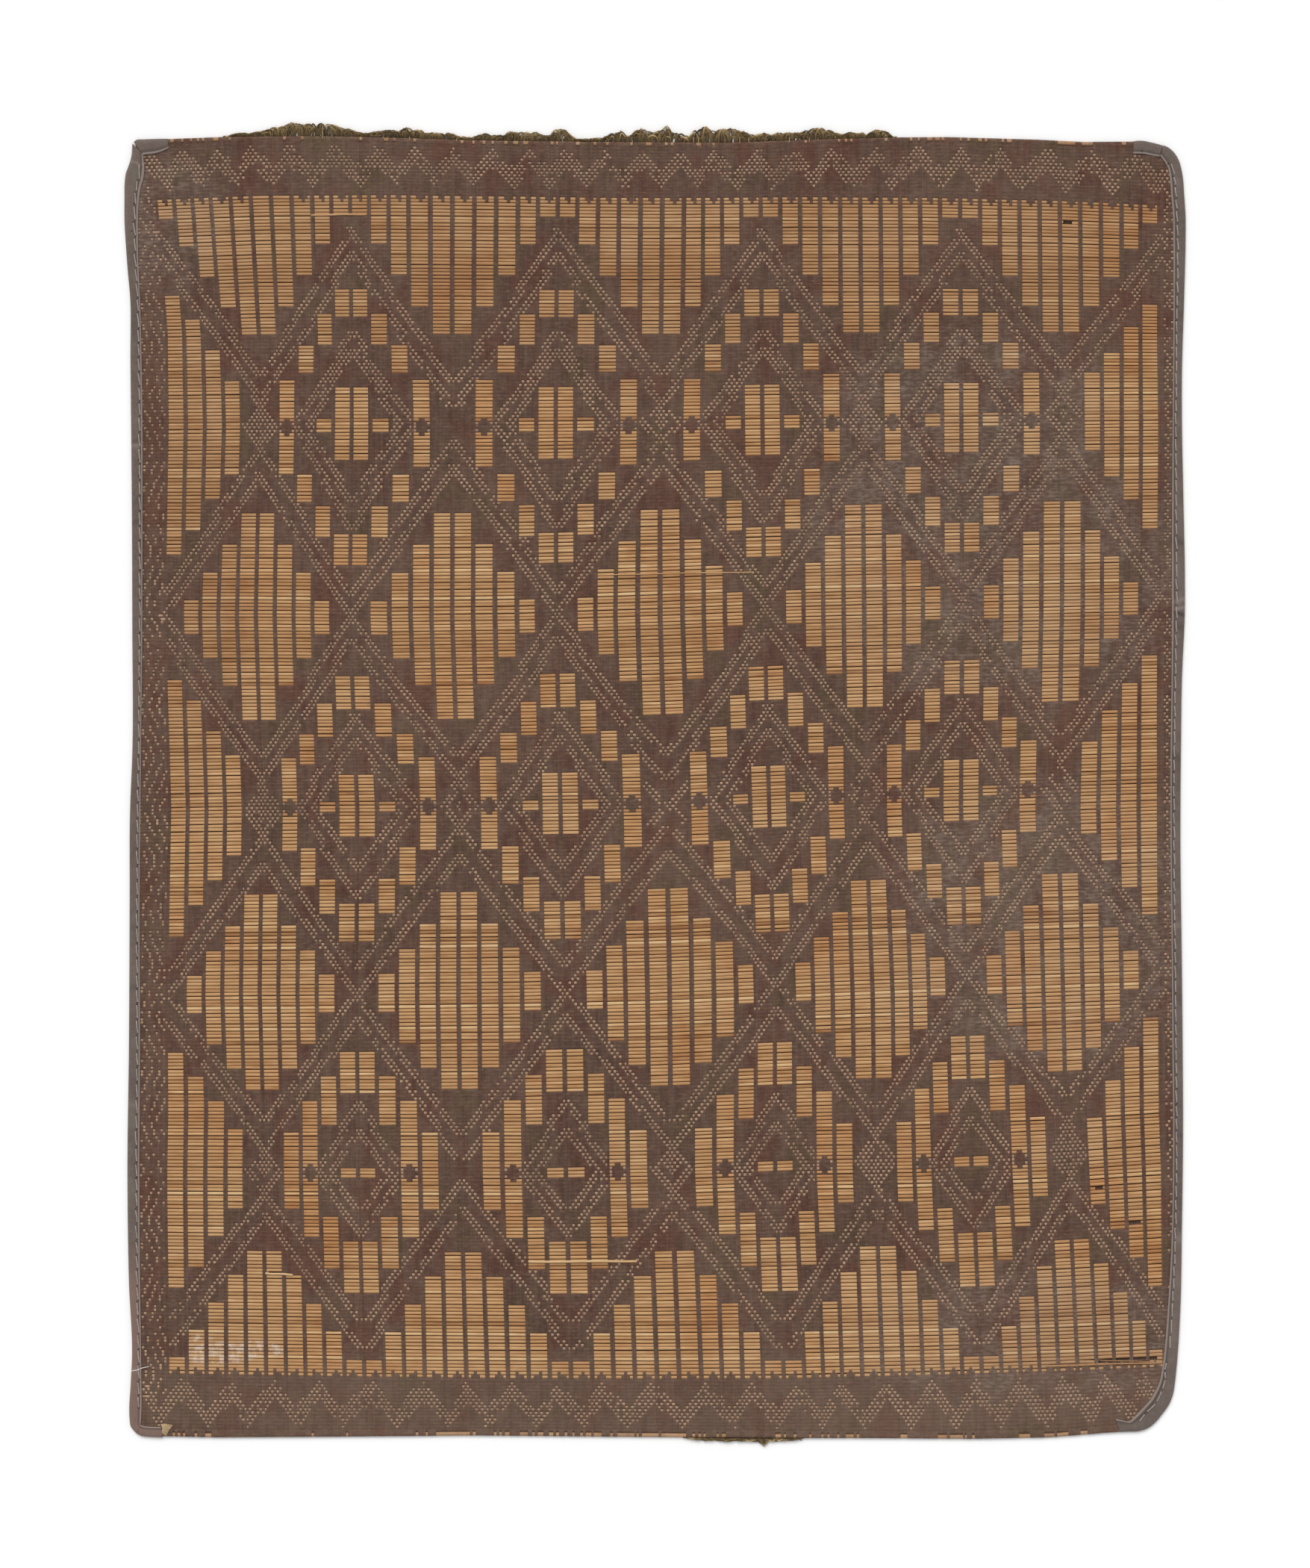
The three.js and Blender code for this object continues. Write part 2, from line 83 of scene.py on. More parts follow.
# The outer edge of the mat. Each pair is across, down
outline = {
    "top": [
        (180, 188), (308, 183), (430, 182), (520, 184), (641, 188), (823, 190), (980, 191), (1110, 186),
        (1198, 184), (1270, 183.5), (1390, 187), (1450, 190), (1528, 189.5), (1559, 195), (1590, 206),
    ],
    "bottom": [
        (180, 1918), (197, 1923), (290, 1925), (452, 1924), (641, 1922.5), (918, 1925), (1076, 1926),
        (1167, 1926), (1300, 1927), (1406, 1925), (1480, 1919), (1511, 1917), (1545, 1906), (1580, 1880),
    ],
    "left": [
        (188, 180), (211, 176), (232, 169), (250, 167), (295, 167), (358, 171), (397, 174.5), (481, 175),
        (579, 176), (700, 177), (840, 177.5), (1009, 177.5), (1085, 174.5), (1204, 174), (1400, 173),
        (1575, 171), (1716, 173), (1821, 177), (1850, 175.5), (1901, 174), (1909, 175), (1916, 180),
        (1921, 187), (1923, 197),
    ],
    "right": [
        (195, 1559), (197.6, 1564.5), (205, 1573), (215, 1579), (225, 1582), (240, 1584.6), (260, 1586),
        (292, 1588), (316, 1588), (400, 1586), (505, 1583), (560, 1583), (665, 1585), (770, 1587),
        (816, 1587), (911, 1583), (980, 1582), (1120, 1581), (1296, 1583), (1400, 1584), (1523, 1584.5),
        (1645, 1583), (1751, 1581), (1830, 1576), (1849, 1574), (1867, 1571), (1880, 1566),
        (1893.5, 1556.5), (1905, 1547), (1912, 1538), (1916, 1527), (1917, 1511),
    ],
}


def alongTable(table, at):
    return np.interp(at, [p[0] for p in table], [p[1] for p in table])


# The weave: reeds lie across, leather strips run down the mat over them or behind them
weave = {
    "reeds": 371,
    "columns": 50,
    "middle": 880.0,  # a first guess of a place across, anywhere on the mat
    "stripsInColumn": 8,
    "openStrips": 6,  # strips of a column that can go behind the reeds, the other two divide the columns
    "openShare": 0.8,  # share of a column's width that the open strips take
    "leftBorder": 12,
    "rightBorder": 8,
    "borderPitch": 3.3,
    "reedTop": 4.15,
    "reedHeight": 3.0,
    "reedShare": 0.93,
    "overHeight": 4.6,
    "dip": 0.75,
    "diveHeight": 4.15,
    "underHeight": 0.2,
    "stripShare": 1.13,
    "seed": 7,
}
# Down places of nine counted reed lines at nine places across the mat
reedLines = {
    "across": [180, 350, 520, 700, 880, 1060, 1240, 1420, 1580],
    "reed": [0, 16, 81.6, 136.6, 192.1, 245.1, 296.1, 354.8, 371],
    "down": [
        [194.8, 189.5, 190.8, 195.4, 197.2, 194.8, 190.5, 195.3, 199.0],
        [269.0, 262.0, 261.0, 263.0, 265.0, 264.0, 265.0, 269.0, 276.0],
        [570.0, 568.7, 568.0, 567.5, 565.5, 563.0, 561.0, 558.7, 556.6],
        [825.0, 825.0, 826.5, 824.0, 818.0, 811.0, 806.0, 802.0, 798.0],
        [1083.5, 1080.0, 1078.3, 1077.0, 1074.0, 1065.5, 1060.0, 1053.5, 1047.5],
        [1331.0, 1329.5, 1327.5, 1325.0, 1321.0, 1313.0, 1305.5, 1300.0, 1294.0],
        [1567.5, 1568.5, 1569.0, 1569.5, 1566.0, 1559.0, 1556.0, 1548.0, 1537.0],
        [1838.0, 1841.0, 1843.5, 1845.0, 1845.5, 1845.0, 1841.0, 1836.0, 1829.0],
        [1915.0, 1918.0, 1917.3, 1916.0, 1917.8, 1919.0, 1920.0, 1917.5, 1905.0],
    ],
}
# Across places of the columns' left sides at nine levels
columnLines = {
    "down": [285, 450, 570, 825, 1083, 1330, 1490, 1570, 1830],
    "column": [0, 3, 6, 8, 11, 13, 16, 18, 21, 23, 26, 28, 31, 33, 36, 38, 41, 43, 46, 48, 50],
    "across": [
        [212.5, 286, 367, 421.5, 497, 550, 638.5, 697, 776, 832, 919, 969.6, 1047.7, 1101, 1182.2, 1235,
         1315.4, 1368, 1449.4, 1505, 1555],
        [225, 299, 375, 426, 497, 551, 637.5, 696, 773.5, 831, 917, 971, 1049, 1102, 1183.5, 1237, 1315.8,
         1369.5, 1451, 1505, 1555],
        [226, 303, 374.5, 424, 499, 554, 637, 695, 773, 831, 915, 972, 1050, 1103, 1185, 1239, 1316, 1371,
         1453, 1505, 1556.5],
        [222, 295, 370.6, 421, 496, 552.8, 636.7, 695.6, 773.8, 827, 917.3, 974, 1052.7, 1105.5, 1188,
         1238.7, 1317.7, 1369.5, 1453, 1504, 1555],
        [229.5, 304.5, 379, 428.5, 508, 563, 644.3, 700, 780.4, 835, 926, 982.5, 1058, 1110, 1187.7, 1237.5,
         1316, 1365, 1447, 1500.4, 1555],
        [225, 300.5, 375.5, 427, 506.8, 561.7, 645, 702.3, 786, 840.7, 929.7, 989.4, 1066, 1118, 1198.3,
         1246.5, 1322, 1374, 1453, 1505, 1556.5],
        [225.4, 306, 380, 430.5, 508, 564.6, 646, 704.1, 788, 842.9, 930.6, 989.1, 1066.7, 1120, 1200.4,
         1250.4, 1326.3, 1379, 1455.3, 1506.5, 1557.3],
        [224, 305, 380.5, 431, 508, 566, 646.5, 705, 789, 844, 931, 989, 1067, 1121, 1201.5, 1253, 1330,
         1382, 1459, 1509.2, 1560.2],
        [227, 306, 386, 438, 517, 571.5, 655.4, 711, 796, 853, 942, 997, 1079.8, 1130, 1212, 1265, 1343.8,
         1394.8, 1471.5, 1518.3, 1561.5],
    ],
}


def between(rows, cols, grid, r, c):
    # straight-line reading of a table between its rows and columns, also a little past its ends
    rows, cols, grid = np.asarray(rows, float), np.asarray(cols, float), np.asarray(grid, float)
    i = np.clip(np.searchsorted(rows, r, side="right") - 1, 0, len(rows) - 2)
    j = np.clip(np.searchsorted(cols, c, side="right") - 1, 0, len(cols) - 2)
    a = np.clip((r - rows[i]) / (rows[i + 1] - rows[i]), -0.3, 1.3)
    b = np.clip((c - cols[j]) / (cols[j + 1] - cols[j]), -0.3, 1.3)
    top = grid[i, j] * (1 - b) + grid[i, j + 1] * b
    low = grid[i + 1, j] * (1 - b) + grid[i + 1, j + 1] * b
    return top * (1 - a) + low * a


def downOf(reed, across):
    return between(reedLines["reed"], reedLines["across"], reedLines["down"], reed, across)


def stripPlace(strip):
    # a strip's middle counted in columns, its share of a column's width, and its offset past the columns
    perColumn, openStrips, share = weave["stripsInColumn"], weave["openStrips"], weave["openShare"]
    total = weave["columns"] * perColumn
    if strip < 0:
        return 0.0, 0.0, (strip + 0.5) * weave["borderPitch"]
    if strip >= total:
        return float(weave["columns"]), 0.0, (strip - total + 0.5) * weave["borderPitch"]
    column, j = divmod(strip, perColumn)
    if j < openStrips:
        width = share / openStrips
        return column + (j + 0.5) * width, width, 0.0
    width = (1 - share) / (perColumn - openStrips)
    return column + share + (j - openStrips + 0.5) * width, width, 0.0


def acrossOf(columnAt, down):
    return between(columnLines["down"], columnLines["column"], columnLines["across"], down, columnAt)


# The pattern, charted by count: reeds from the top edge, strips from the first column
chart = {
    "fieldTop": 16.0,
    "fieldBottom": 354.8,
    "rows": {"ringB": 81.6, "diamondC": 136.6, "ringD": 192.1, "diamondE": 245.1, "ringF": 296.1},
    "hanging": [40, 32, 23, 14, 6],  # reeds down from the field's top, by distance from a peak's middle
    "rising": [35.5, 29, 21, 13, 5.2],
    "diamondC": {"up": [30, 20.5, 12.5, 5], "down": [30, 20.5, 12.5, 5]},
    "diamondE": {"up": [28, 19.5, 12, 5], "down": [28, 22, 14.5, 6]},
    "ringB": {
        0: [(-38.5, -30.5), (-10.6, 10.6), (31.7, 40.1)],
        1: [(-31.5, -22.3), (-1.6, 2.5), (23.1, 32.4)],
        2: [(-22.2, -14.3), (14.4, 22.6)],
        3: [(-12.6, 14.7)],
    },
    "ringD": {
        0: [(-38.5, -28), (-9, 9), (28.4, 38.5)],
        1: [(-30.5, -19.8), (-1.5, 1.5), (20.6, 31)],
        2: [(-21.5, -12.5), (11.4, 22.6)],
        3: [(-14, 13.1)],
    },
    "ringF": {
        0: [(-34.2, -22.2), (-1.5, 1.5), (20.2, 35)],
        1: [(-26.7, -12.7), (12.7, 27.7)],
        2: [(-20, 18.5)],
        3: [(-11.2, 11)],
    },
    # the outermost blocks of the first row's four rings, left and right, one by one
    "outerB": {9: [(-12.4, 14.9), (-12.8, 12.9)], 19: [(-13, 12.8), (-13, 12.1)],
               29: [(-13, 11.8), (-13.4, 12.9)], 39: [(-13.8, 12.8), (-13.8, 11.2)]},
    "notch": {"ringB": 3, "ringD": 3, "ringF": 2},
    "leftHalf": {
        "ringB": [(-37.2, 37.2), (-30.4, 30.4), (-21.3, 21.3), (-12.4, 14.4)],
        "ringD": [(-37.1, 37.1), (-31, 28.3), (-22, 21.2), (-15.4, 13.7)],
        "ringF": [(-34.5, 34.4), (-27.1, 27.5), (-19.8, 19), (-12.5, 10.5)],
    },
    "rightHalf": {
        "ringB": [(-34.6, 34.6), (-27.5, 25.6), (-20, 18), (-13.5, 10.8)],
        "ringD": [(-37.7, 37.7), (-29.6, 29.6), (-22, 22), (-13.4, 13.4)],
        "ringF": [(-36.7, 36.7), (-29, 29), (-19.7, 21), (-10.4, 13.9)],
    },
    "ringDots": {
        # half height above, half height below, half width of each dotted diamond inside a ring
        "ringB": [(27, 30.5, 24.5), (21.7, 22.3, 19.5)],
        "ringD": [(26.8, 26.6, 24), (20, 19, 17.5)],
        "ringF": [(20, 18.8, 17), (12, 11.3, 12.5)],
    },
    # where the dotted lines meet above and below each ring row, in reeds from that row
    # at each of the five places across, with what lies between the two tips
    "meeting": {
        "ringB": [
            (-13.8, -6.4, 6, 13.4, "full"), (-11.4, -4.2, 4.2, 11.8, "open"),
            (-13.8, -6.3, 5.2, 12.6, "ring"), (-13.6, -6.3, 5.4, 12.8, "full"),
            (-14.5, -7.2, 5, 12.4, "ring"),
        ],
        "ringD": [
            (-14.6, -7.2, 8.8, 16.2, "full"), (-14.4, -7.2, 6.4, 13.8, "ring"),
            (-13.4, -6.2, 6.9, 14.2, "arrows"), (-15.2, -8, 6.9, 14.2, "ring"),
            (-15, -7.5, 7, 14, "dotted"),
        ],
        "ringF": [
            (-13.8, -6.7, 5.4, 12.4, "ring"), (-10.4, -2.7, 1.8, 9.4, "open"), (-13, -6.5, 5.2, 12, "ring"),
            (-15, -8.2, 6.2, 13, "full"), (-16, -9.4, 6.2, 13, "full"),
        ],
    },
    "meetingHalf": 6.2,  # half width in strips of what lies between two tips
    "crossing": {"diamondC": [-6, 0, 6], "diamondE": [-6.2, 0, 6.6]},
    "topStart": [25, 32.5],
    "bottomEnd": [339.3, 347.3],
    "missingDots": 0.1,
}

dice = np.random.default_rng(weave["seed"])
firstStrip = -weave["leftBorder"]
fieldStrips = weave["columns"] * weave["stripsInColumn"]
lastStrip = fieldStrips + weave["rightBorder"]
behind = np.zeros((lastStrip - firstStrip, weave["reeds"]), bool)
dots = np.zeros_like(behind)
rowOf, ringNames = chart["rows"], ("ringB", "ringD", "ringF")


def openBlock(column, top, bottom):
    first = column * weave["stripsInColumn"] - firstStrip
    behind[first : first + weave["openStrips"], int(round(top)) : int(round(bottom))] = True


def closeCell(strip, reed):
    behind[strip - firstStrip, reed] = False


def putDot(strip, reed):
    inside = firstStrip <= strip < lastStrip and 0 <= reed < weave["reeds"]
    if inside and dice.random() > chart["missingDots"]:
        dots[strip - firstStrip, reed] = True


def onChecker(strip, reed):
    return (strip + reed) % 2 == 0


def dottedLine(s0, r0, s1, r1):
    # two dots two strips apart on every reed, from one meeting place to the next
    low, high = sorted((r0, r1))
    for reed in range(int(round(low)), int(round(high))):
        first = int(math.ceil(s0 + (s1 - s0) * (reed - r0) / (r1 - r0) - 1.5))
        if not onChecker(first, reed):
            first += 1
        putDot(first, reed)
        putDot(first + 2, reed)


def dottedDiamond(middle, half, top, row, bottom):
    for sign in (-1, 1):
        dottedLine(middle, top, middle + sign * half, row)
        dottedLine(middle + sign * half, row, middle, bottom)


def columnMiddle(k):
    # the strip coordinate between columns k and k + 1
    return weave["stripsInColumn"] * k + 6.5


for column in range(weave["columns"]):
    step = int(abs(column - (4.5 + 10 * round((column - 4.5) / 10))))
    openBlock(column, chart["fieldTop"], chart["fieldTop"] + chart["hanging"][step])
    openBlock(column, chart["fieldBottom"] - chart["rising"][step], chart["fieldBottom"])
    if step < 4:
        for name in ("diamondC", "diamondE"):
            up, down = chart[name]["up"][step], chart[name]["down"][step]
            openBlock(column, rowOf[name] - up, rowOf[name] + down)


def closeNotch(column, row):
    # a small covered diamond in the middle of a block
    for b in range(-3, 4):
        for j in range(weave["openStrips"]):
            if abs(j - 2.5) + 0.4 <= 3 * (1 - abs(b) / 4):
                closeCell(column * weave["stripsInColumn"] + j, int(round(row)) + b)


for name in ringNames:
    row = rowOf[name]
    for k in range(9, 40, 10):
        for step, spans in chart[name].items():
            for side, column in enumerate((k - step, k + 1 + step)):
                if name == "ringB" and step == 3:
                    spans = [chart["outerB"][k][side]]
                for top, bottom in spans:
                    openBlock(column, row + top, row + bottom)
                if step == chart["notch"][name]:
                    closeNotch(column, row)
    for i in range(4):
        for half, column in (("leftHalf", i), ("rightHalf", weave["columns"] - 1 - i)):
            top, bottom = chart[half][name][i]
            openBlock(column, row + top, row + bottom)

# The field's first and last reeds have a covered notch in the middle of every column
firstOpen, lastOpen = int(round(chart["fieldTop"])), int(round(chart["fieldBottom"])) - 1
for column in range(weave["columns"]):
    base = column * weave["stripsInColumn"]
    if column not in (5, 6):
        for j in (2, 3, 3 + column % 2):
            closeCell(base + j, firstOpen)
        closeCell(base + 3, firstOpen + 1)
    for j in (2, 3, 4 if column % 3 else 1):
        closeCell(base + j, lastOpen)
    closeCell(base + 3 - column % 2, lastOpen - 1)

# Dotted lines between the rings and the diamonds, and what lies where they meet
for m in range(5):
    middle = columnMiddle(10 * m + 4)
    for side in (columnMiddle(10 * m - 1), columnMiddle(10 * m + 9)):
        previous = chart["topStart"]
        for name, crossing in zip(ringNames, ("diamondC", "diamondE", None)):
            above, over, under, below = [rowOf[name] + t for t in chart["meeting"][name][m][:4]]
            dottedLine(side, previous[0], middle, above)
            dottedLine(side, previous[1], middle, over)
            ends = chart["bottomEnd"]
            if crossing:
                ends = [rowOf[crossing] + t for t in chart["crossing"][crossing]]
            dottedLine(middle, under, side, ends[0])
            dottedLine(middle, below, side, ends[1])
            previous = ends[1:]
    for name in ringNames:
        _, over, under, _, kind = chart["meeting"][name][m]
        row, tall, wide = rowOf[name] + (over + under) / 2, (under - over) / 2, chart["meetingHalf"]
        if kind in ("full", "ring"):
            dottedDiamond(middle, wide, row - tall, row, row + tall)
        if kind == "arrows":
            for sign in (-1, 1):
                dottedLine(middle + sign * (wide + 1), row - tall, middle + sign * 1.5, row)
                dottedLine(middle + sign * 1.5, row, middle + sign * (wide + 1), row + tall)
        for b in range(-8, 9):
            for a in range(-7, 8):
                inside = abs(a) / wide + abs(b) / tall
                filled = kind == "full" and inside < 0.95
                sparse = kind == "dotted" and inside < 1.25 and (a + 2 * b) % 3 > 0
                heart = kind == "ring" and inside < 0.4
                strip, reed = int(math.floor(middle + 0.5)) + a, int(round(row)) + b
                if onChecker(strip, reed) and (filled or sparse or heart):
                    putDot(strip, reed)

# Dotted diamonds inside the rings
for name in ringNames:
    row = rowOf[name]
    for k in range(9, 40, 10):
        for up, down, half in chart["ringDots"][name]:
            dottedDiamond(columnMiddle(k), half, row - up, row - 0.5, row + down)

# Zigzags of dots in the four borders. Peaks and valleys are places across, their heights counted in reeds
zigzag = {
    "top": {
        "peaks": [
            195, 241.8, 288.5, 335, 386, 446.8, 505, 556, 606, 657, 709, 758, 811, 862, 913, 954, 1017.7,
            1065, 1114.7, 1175.6, 1232, 1287, 1340, 1405, 1464.8, 1522, 1580,
        ],
        "valleys": [
            226.6, 273.3, 318.8, 367.6, 420.8, 484.8, 534, 583.5, 635.6, 689.8, 736.4, 786, 837, 887, 933,
            986.6, 1033.8, 1089.8, 1143, 1193, 1261, 1309, 1364, 1427.5, 1489.7, 1550,
        ],
        "peakReed": 3.8, "valleyReed": 10.6, "half": 3.3, "down": 225,
    },
    "bottom": {
        "peaks": [
            192, 245, 312, 369.7, 428, 498.7, 565.8, 626.8, 686.5, 746, 808, 875, 948, 1006.8, 1066.5, 1126,
            1189.6, 1249.5, 1307, 1369, 1426, 1480, 1530.8, 1580,
        ],
        "valleys": [
            213.6, 279.7, 330.7, 396.8, 455, 532, 600.6, 651.6, 718.8, 779.8, 843, 913.5, 981.9, 1042.8,
            1101, 1159.8, 1222.7, 1280.8, 1341.8, 1401.5, 1463.7, 1514.7, 1560,
        ],
        "peakReed": 358.9, "valleyReed": 367.2, "half": 3.2, "down": 1880,
    },
    # the left border's lines lean one way, then the other, side by side; the right border has a faint chain
    "sideReeds": (12, 362),
    "left": {"turn": 162.0, "period": 29.6, "slope": 0.6, "spacing": 3.5, "kept": 0.84},
    "right": {"middle": 3.0, "swing": 2.2, "half": 1.2, "period": 20.0, "kept": 0.7},
}


def wave(t):
    return 2 * abs(2 * (t - math.floor(t + 0.5))) - 1


for strip in range(firstStrip + 1, lastStrip):
    for name in ("top", "bottom"):
        z = zigzag[name]
        columnAt, _, offset = stripPlace(strip)
        across = float(acrossOf(columnAt, z["down"])) + offset
        turns = [(p, z["peakReed"]) for p in z["peaks"]] + [(v, z["valleyReed"]) for v in z["valleys"]]
        centre = alongTable(sorted(turns), across)
        for reed in range(int(math.floor(centre - z["half"])), int(math.ceil(centre + z["half"])) + 1):
            if abs(reed + 0.5 - centre) <= z["half"] and onChecker(strip, reed):
                putDot(strip, reed)
left, right = zigzag["left"], zigzag["right"]
for reed in range(*zigzag["sideReeds"]):
    fromTurn = abs((reed - left["turn"]) % left["period"] - left["period"] / 2)
    for strip in range(firstStrip + 1, -1):
        if (strip + fromTurn * left["slope"]) % left["spacing"] < 1.0 and dice.random() < left["kept"]:
            putDot(strip, reed)
    for sign in (-1, 1):
        centre = fieldStrips + right["middle"] + right["swing"] * sign * wave(reed / right["period"])
        for strip in range(fieldStrips + 1, lastStrip - 1):
            near = abs(strip - centre) <= right["half"] and onChecker(strip, reed)
            if near and dice.random() < right["kept"]:
                putDot(strip, reed)

# A dot never touches the side of an open block, so that every block keeps its straight edge
openField = behind.copy()
dots &= ~behind
dots[1:] &= ~openField[:-1]
dots[:-1] &= ~openField[1:]
behind |= dots
print("mat: pattern charted,", int(dots.sum()), "dots,", int(openField.sum()), "open crossings")


def feed(tree, socket, value):
    if hasattr(value, "is_linked"):
        tree.links.new(value, socket)
    else:
        socket.default_value = value


def putNode(tree, kind, sockets={}, **settings):
    # adds a node beside the last one and joins or fills its sockets, by name or number
    node = tree.nodes.new(kind)
    node.location = (190 * len(tree.nodes), 0)
    for key, value in settings.items():
        setattr(node, key, value)
    for key, value in sockets.items():
        feed(tree, node.inputs[key], value)
    return node.outputs


def newTree(name, **inputs):
    # a Geometry Nodes tree with named inputs; also returns the sockets of its input node
    tree = bpy.data.node_groups.new(name, "GeometryNodeTree")
    socketFor = {float: "NodeSocketFloat", int: "NodeSocketInt"}
    tree.interface.new_socket("Geometry", in_out="INPUT", socket_type="NodeSocketGeometry")
    for label, value in inputs.items():
        socket = tree.interface.new_socket(label, in_out="INPUT", socket_type=socketFor[type(value)])
        socket.default_value = value
    tree.interface.new_socket("Material", in_out="INPUT", socket_type="NodeSocketMaterial")
    tree.interface.new_socket("Geometry", in_out="OUTPUT", socket_type="NodeSocketGeometry")
    return tree, putNode(tree, "NodeGroupInput")


def endTree(tree, source, geometry):
    real = putNode(tree, "GeometryNodeRealizeInstances", {"Geometry": geometry})["Geometry"]
    paint = putNode(tree, "GeometryNodeSetMaterial", {"Geometry": real, "Material": source["Material"]})
    putNode(tree, "NodeGroupOutput", {"Geometry": paint["Geometry"]})
    return tree


def sweepTree(name, sides):
    # guide lines become rods, or flat ribbons for two sides; the attribute "girth" scales the section
    tree, source = newTree(name, Width=1.0, Height=1.0)
    curve = putNode(tree, "GeometryNodeMeshToCurve", {"Mesh": source["Geometry"]})["Curve"]
    curve = putNode(tree, "GeometryNodeSetCurveNormal", {"Curve": curve}, mode="Z_UP")["Curve"]
    if sides == 2:
        ends = {"Start": (-0.5, 0, 0), "End": (0.5, 0, 0)}
        shape = putNode(tree, "GeometryNodeCurvePrimitiveLine", ends)["Curve"]
    else:
        rim = {"Resolution": sides, "Radius": 0.5}
        shape = putNode(tree, "GeometryNodeCurvePrimitiveCircle", rim, mode="RADIUS")["Curve"]
    index = putNode(tree, "GeometryNodeInputIndex")["Index"]
    shape = putNode(tree, "GeometryNodeStoreNamedAttribute", {
        "Geometry": shape, "Name": "side", "Value": index,
    }, data_type="FLOAT", domain="POINT")["Geometry"]
    size = putNode(tree, "ShaderNodeCombineXYZ", {"X": source["Width"], "Y": source["Height"], "Z": 1.0})
    shape = putNode(tree, "GeometryNodeTransform", {"Geometry": shape, "Scale": size["Vector"]})["Geometry"]
    girth = putNode(tree, "GeometryNodeInputNamedAttribute", {"Name": "girth"}, data_type="FLOAT")
    swept = putNode(tree, "GeometryNodeCurveToMesh", {
        "Curve": curve, "Profile Curve": shape, "Scale": girth["Attribute"], "Fill Caps": sides > 2,
    })["Mesh"]
    return endTree(tree, source, putNode(tree, "GeometryNodeSetShadeSmooth", {"Geometry": swept})["Geometry"])


def runTree(guide, tree, name, **inputs):
    # the modifier's result becomes a plain mesh piece, and the guide goes
    modifier = guide.modifiers.new("build", "NODES")
    modifier.node_group = tree
    for item in tree.interface.items_tree:
        if item.item_type == "SOCKET" and item.in_out == "INPUT" and item.name in inputs:
            modifier[item.identifier] = inputs[item.name]
    depsgraph = bpy.context.evaluated_depsgraph_get()
    depsgraph.update()
    mesh = bpy.data.meshes.new_from_object(guide.evaluated_get(depsgraph))
    mesh.name = name
    guide.modifiers.remove(modifier)
    bpy.data.objects.remove(guide)
    return linked(name, mesh)


def sweep(name, tree, finish, lines, width=1.0, height=1.0, **numbers):
    # lines are point arrays in metres; each attribute has one number or array of numbers for every line
    counts = [len(line) for line in lines]
    points = np.concatenate(lines).astype(np.float32)
    starts = np.cumsum([0] + counts[:-1])
    edges = np.concatenate([np.arange(s, s + n - 1) for s, n in zip(starts, counts)])
    mesh = bpy.data.meshes.new(name + "Guide")
    mesh.vertices.add(len(points))
    mesh.vertices.foreach_set("co", points.ravel())
    mesh.edges.add(len(edges))
    mesh.edges.foreach_set("vertices", np.stack([edges, edges + 1], axis=1).astype(np.int32).ravel())
    for key, values in numbers.items():
        spread = np.concatenate([np.broadcast_to(v, n) for v, n in zip(values, counts)])
        mesh.attributes.new(key, "FLOAT", "POINT").data.foreach_set("value", spread.astype(np.float32))
    mesh.update()
    return runTree(linked(name + "Guide", mesh), tree, name, Width=width, Height=height, Material=finish)


def readAll(things, key, width=1, kind=np.float32):
    found = np.zeros(len(things) * width, kind)
    things.foreach_get(key, found)
    return found


def turnFaces(piece, wrong=None):
    # turns the given faces over, or makes a closed piece's faces point outwards
    build = bmesh.new()
    build.from_mesh(piece.data)
    if wrong is None:
        bmesh.ops.recalc_face_normals(build, faces=build.faces)
        wrong = range(len(build.faces)) if build.calc_volume(signed=True) < 0 else []
    build.faces.ensure_lookup_table()
    bmesh.ops.reverse_faces(build, faces=[build.faces[i] for i in wrong])
    build.to_mesh(piece.data)
    build.free()


def report(*names):
    for name in names:
        count = sum(len(p.vertices) - 2 for p in bpy.data.objects[name].data.polygons)
        print("mat:", name, count, "triangles")


# Colours are given as on screen and turned into the shader's linear values
def tint(code):
    values = [int(code[i : i + 2], 16) / 255 for i in (0, 2, 4)]
    linear = [v / 12.92 if v <= 0.04045 else ((v + 0.055) / 1.055) ** 2.4 for v in values]
    return (*linear, 1.0)


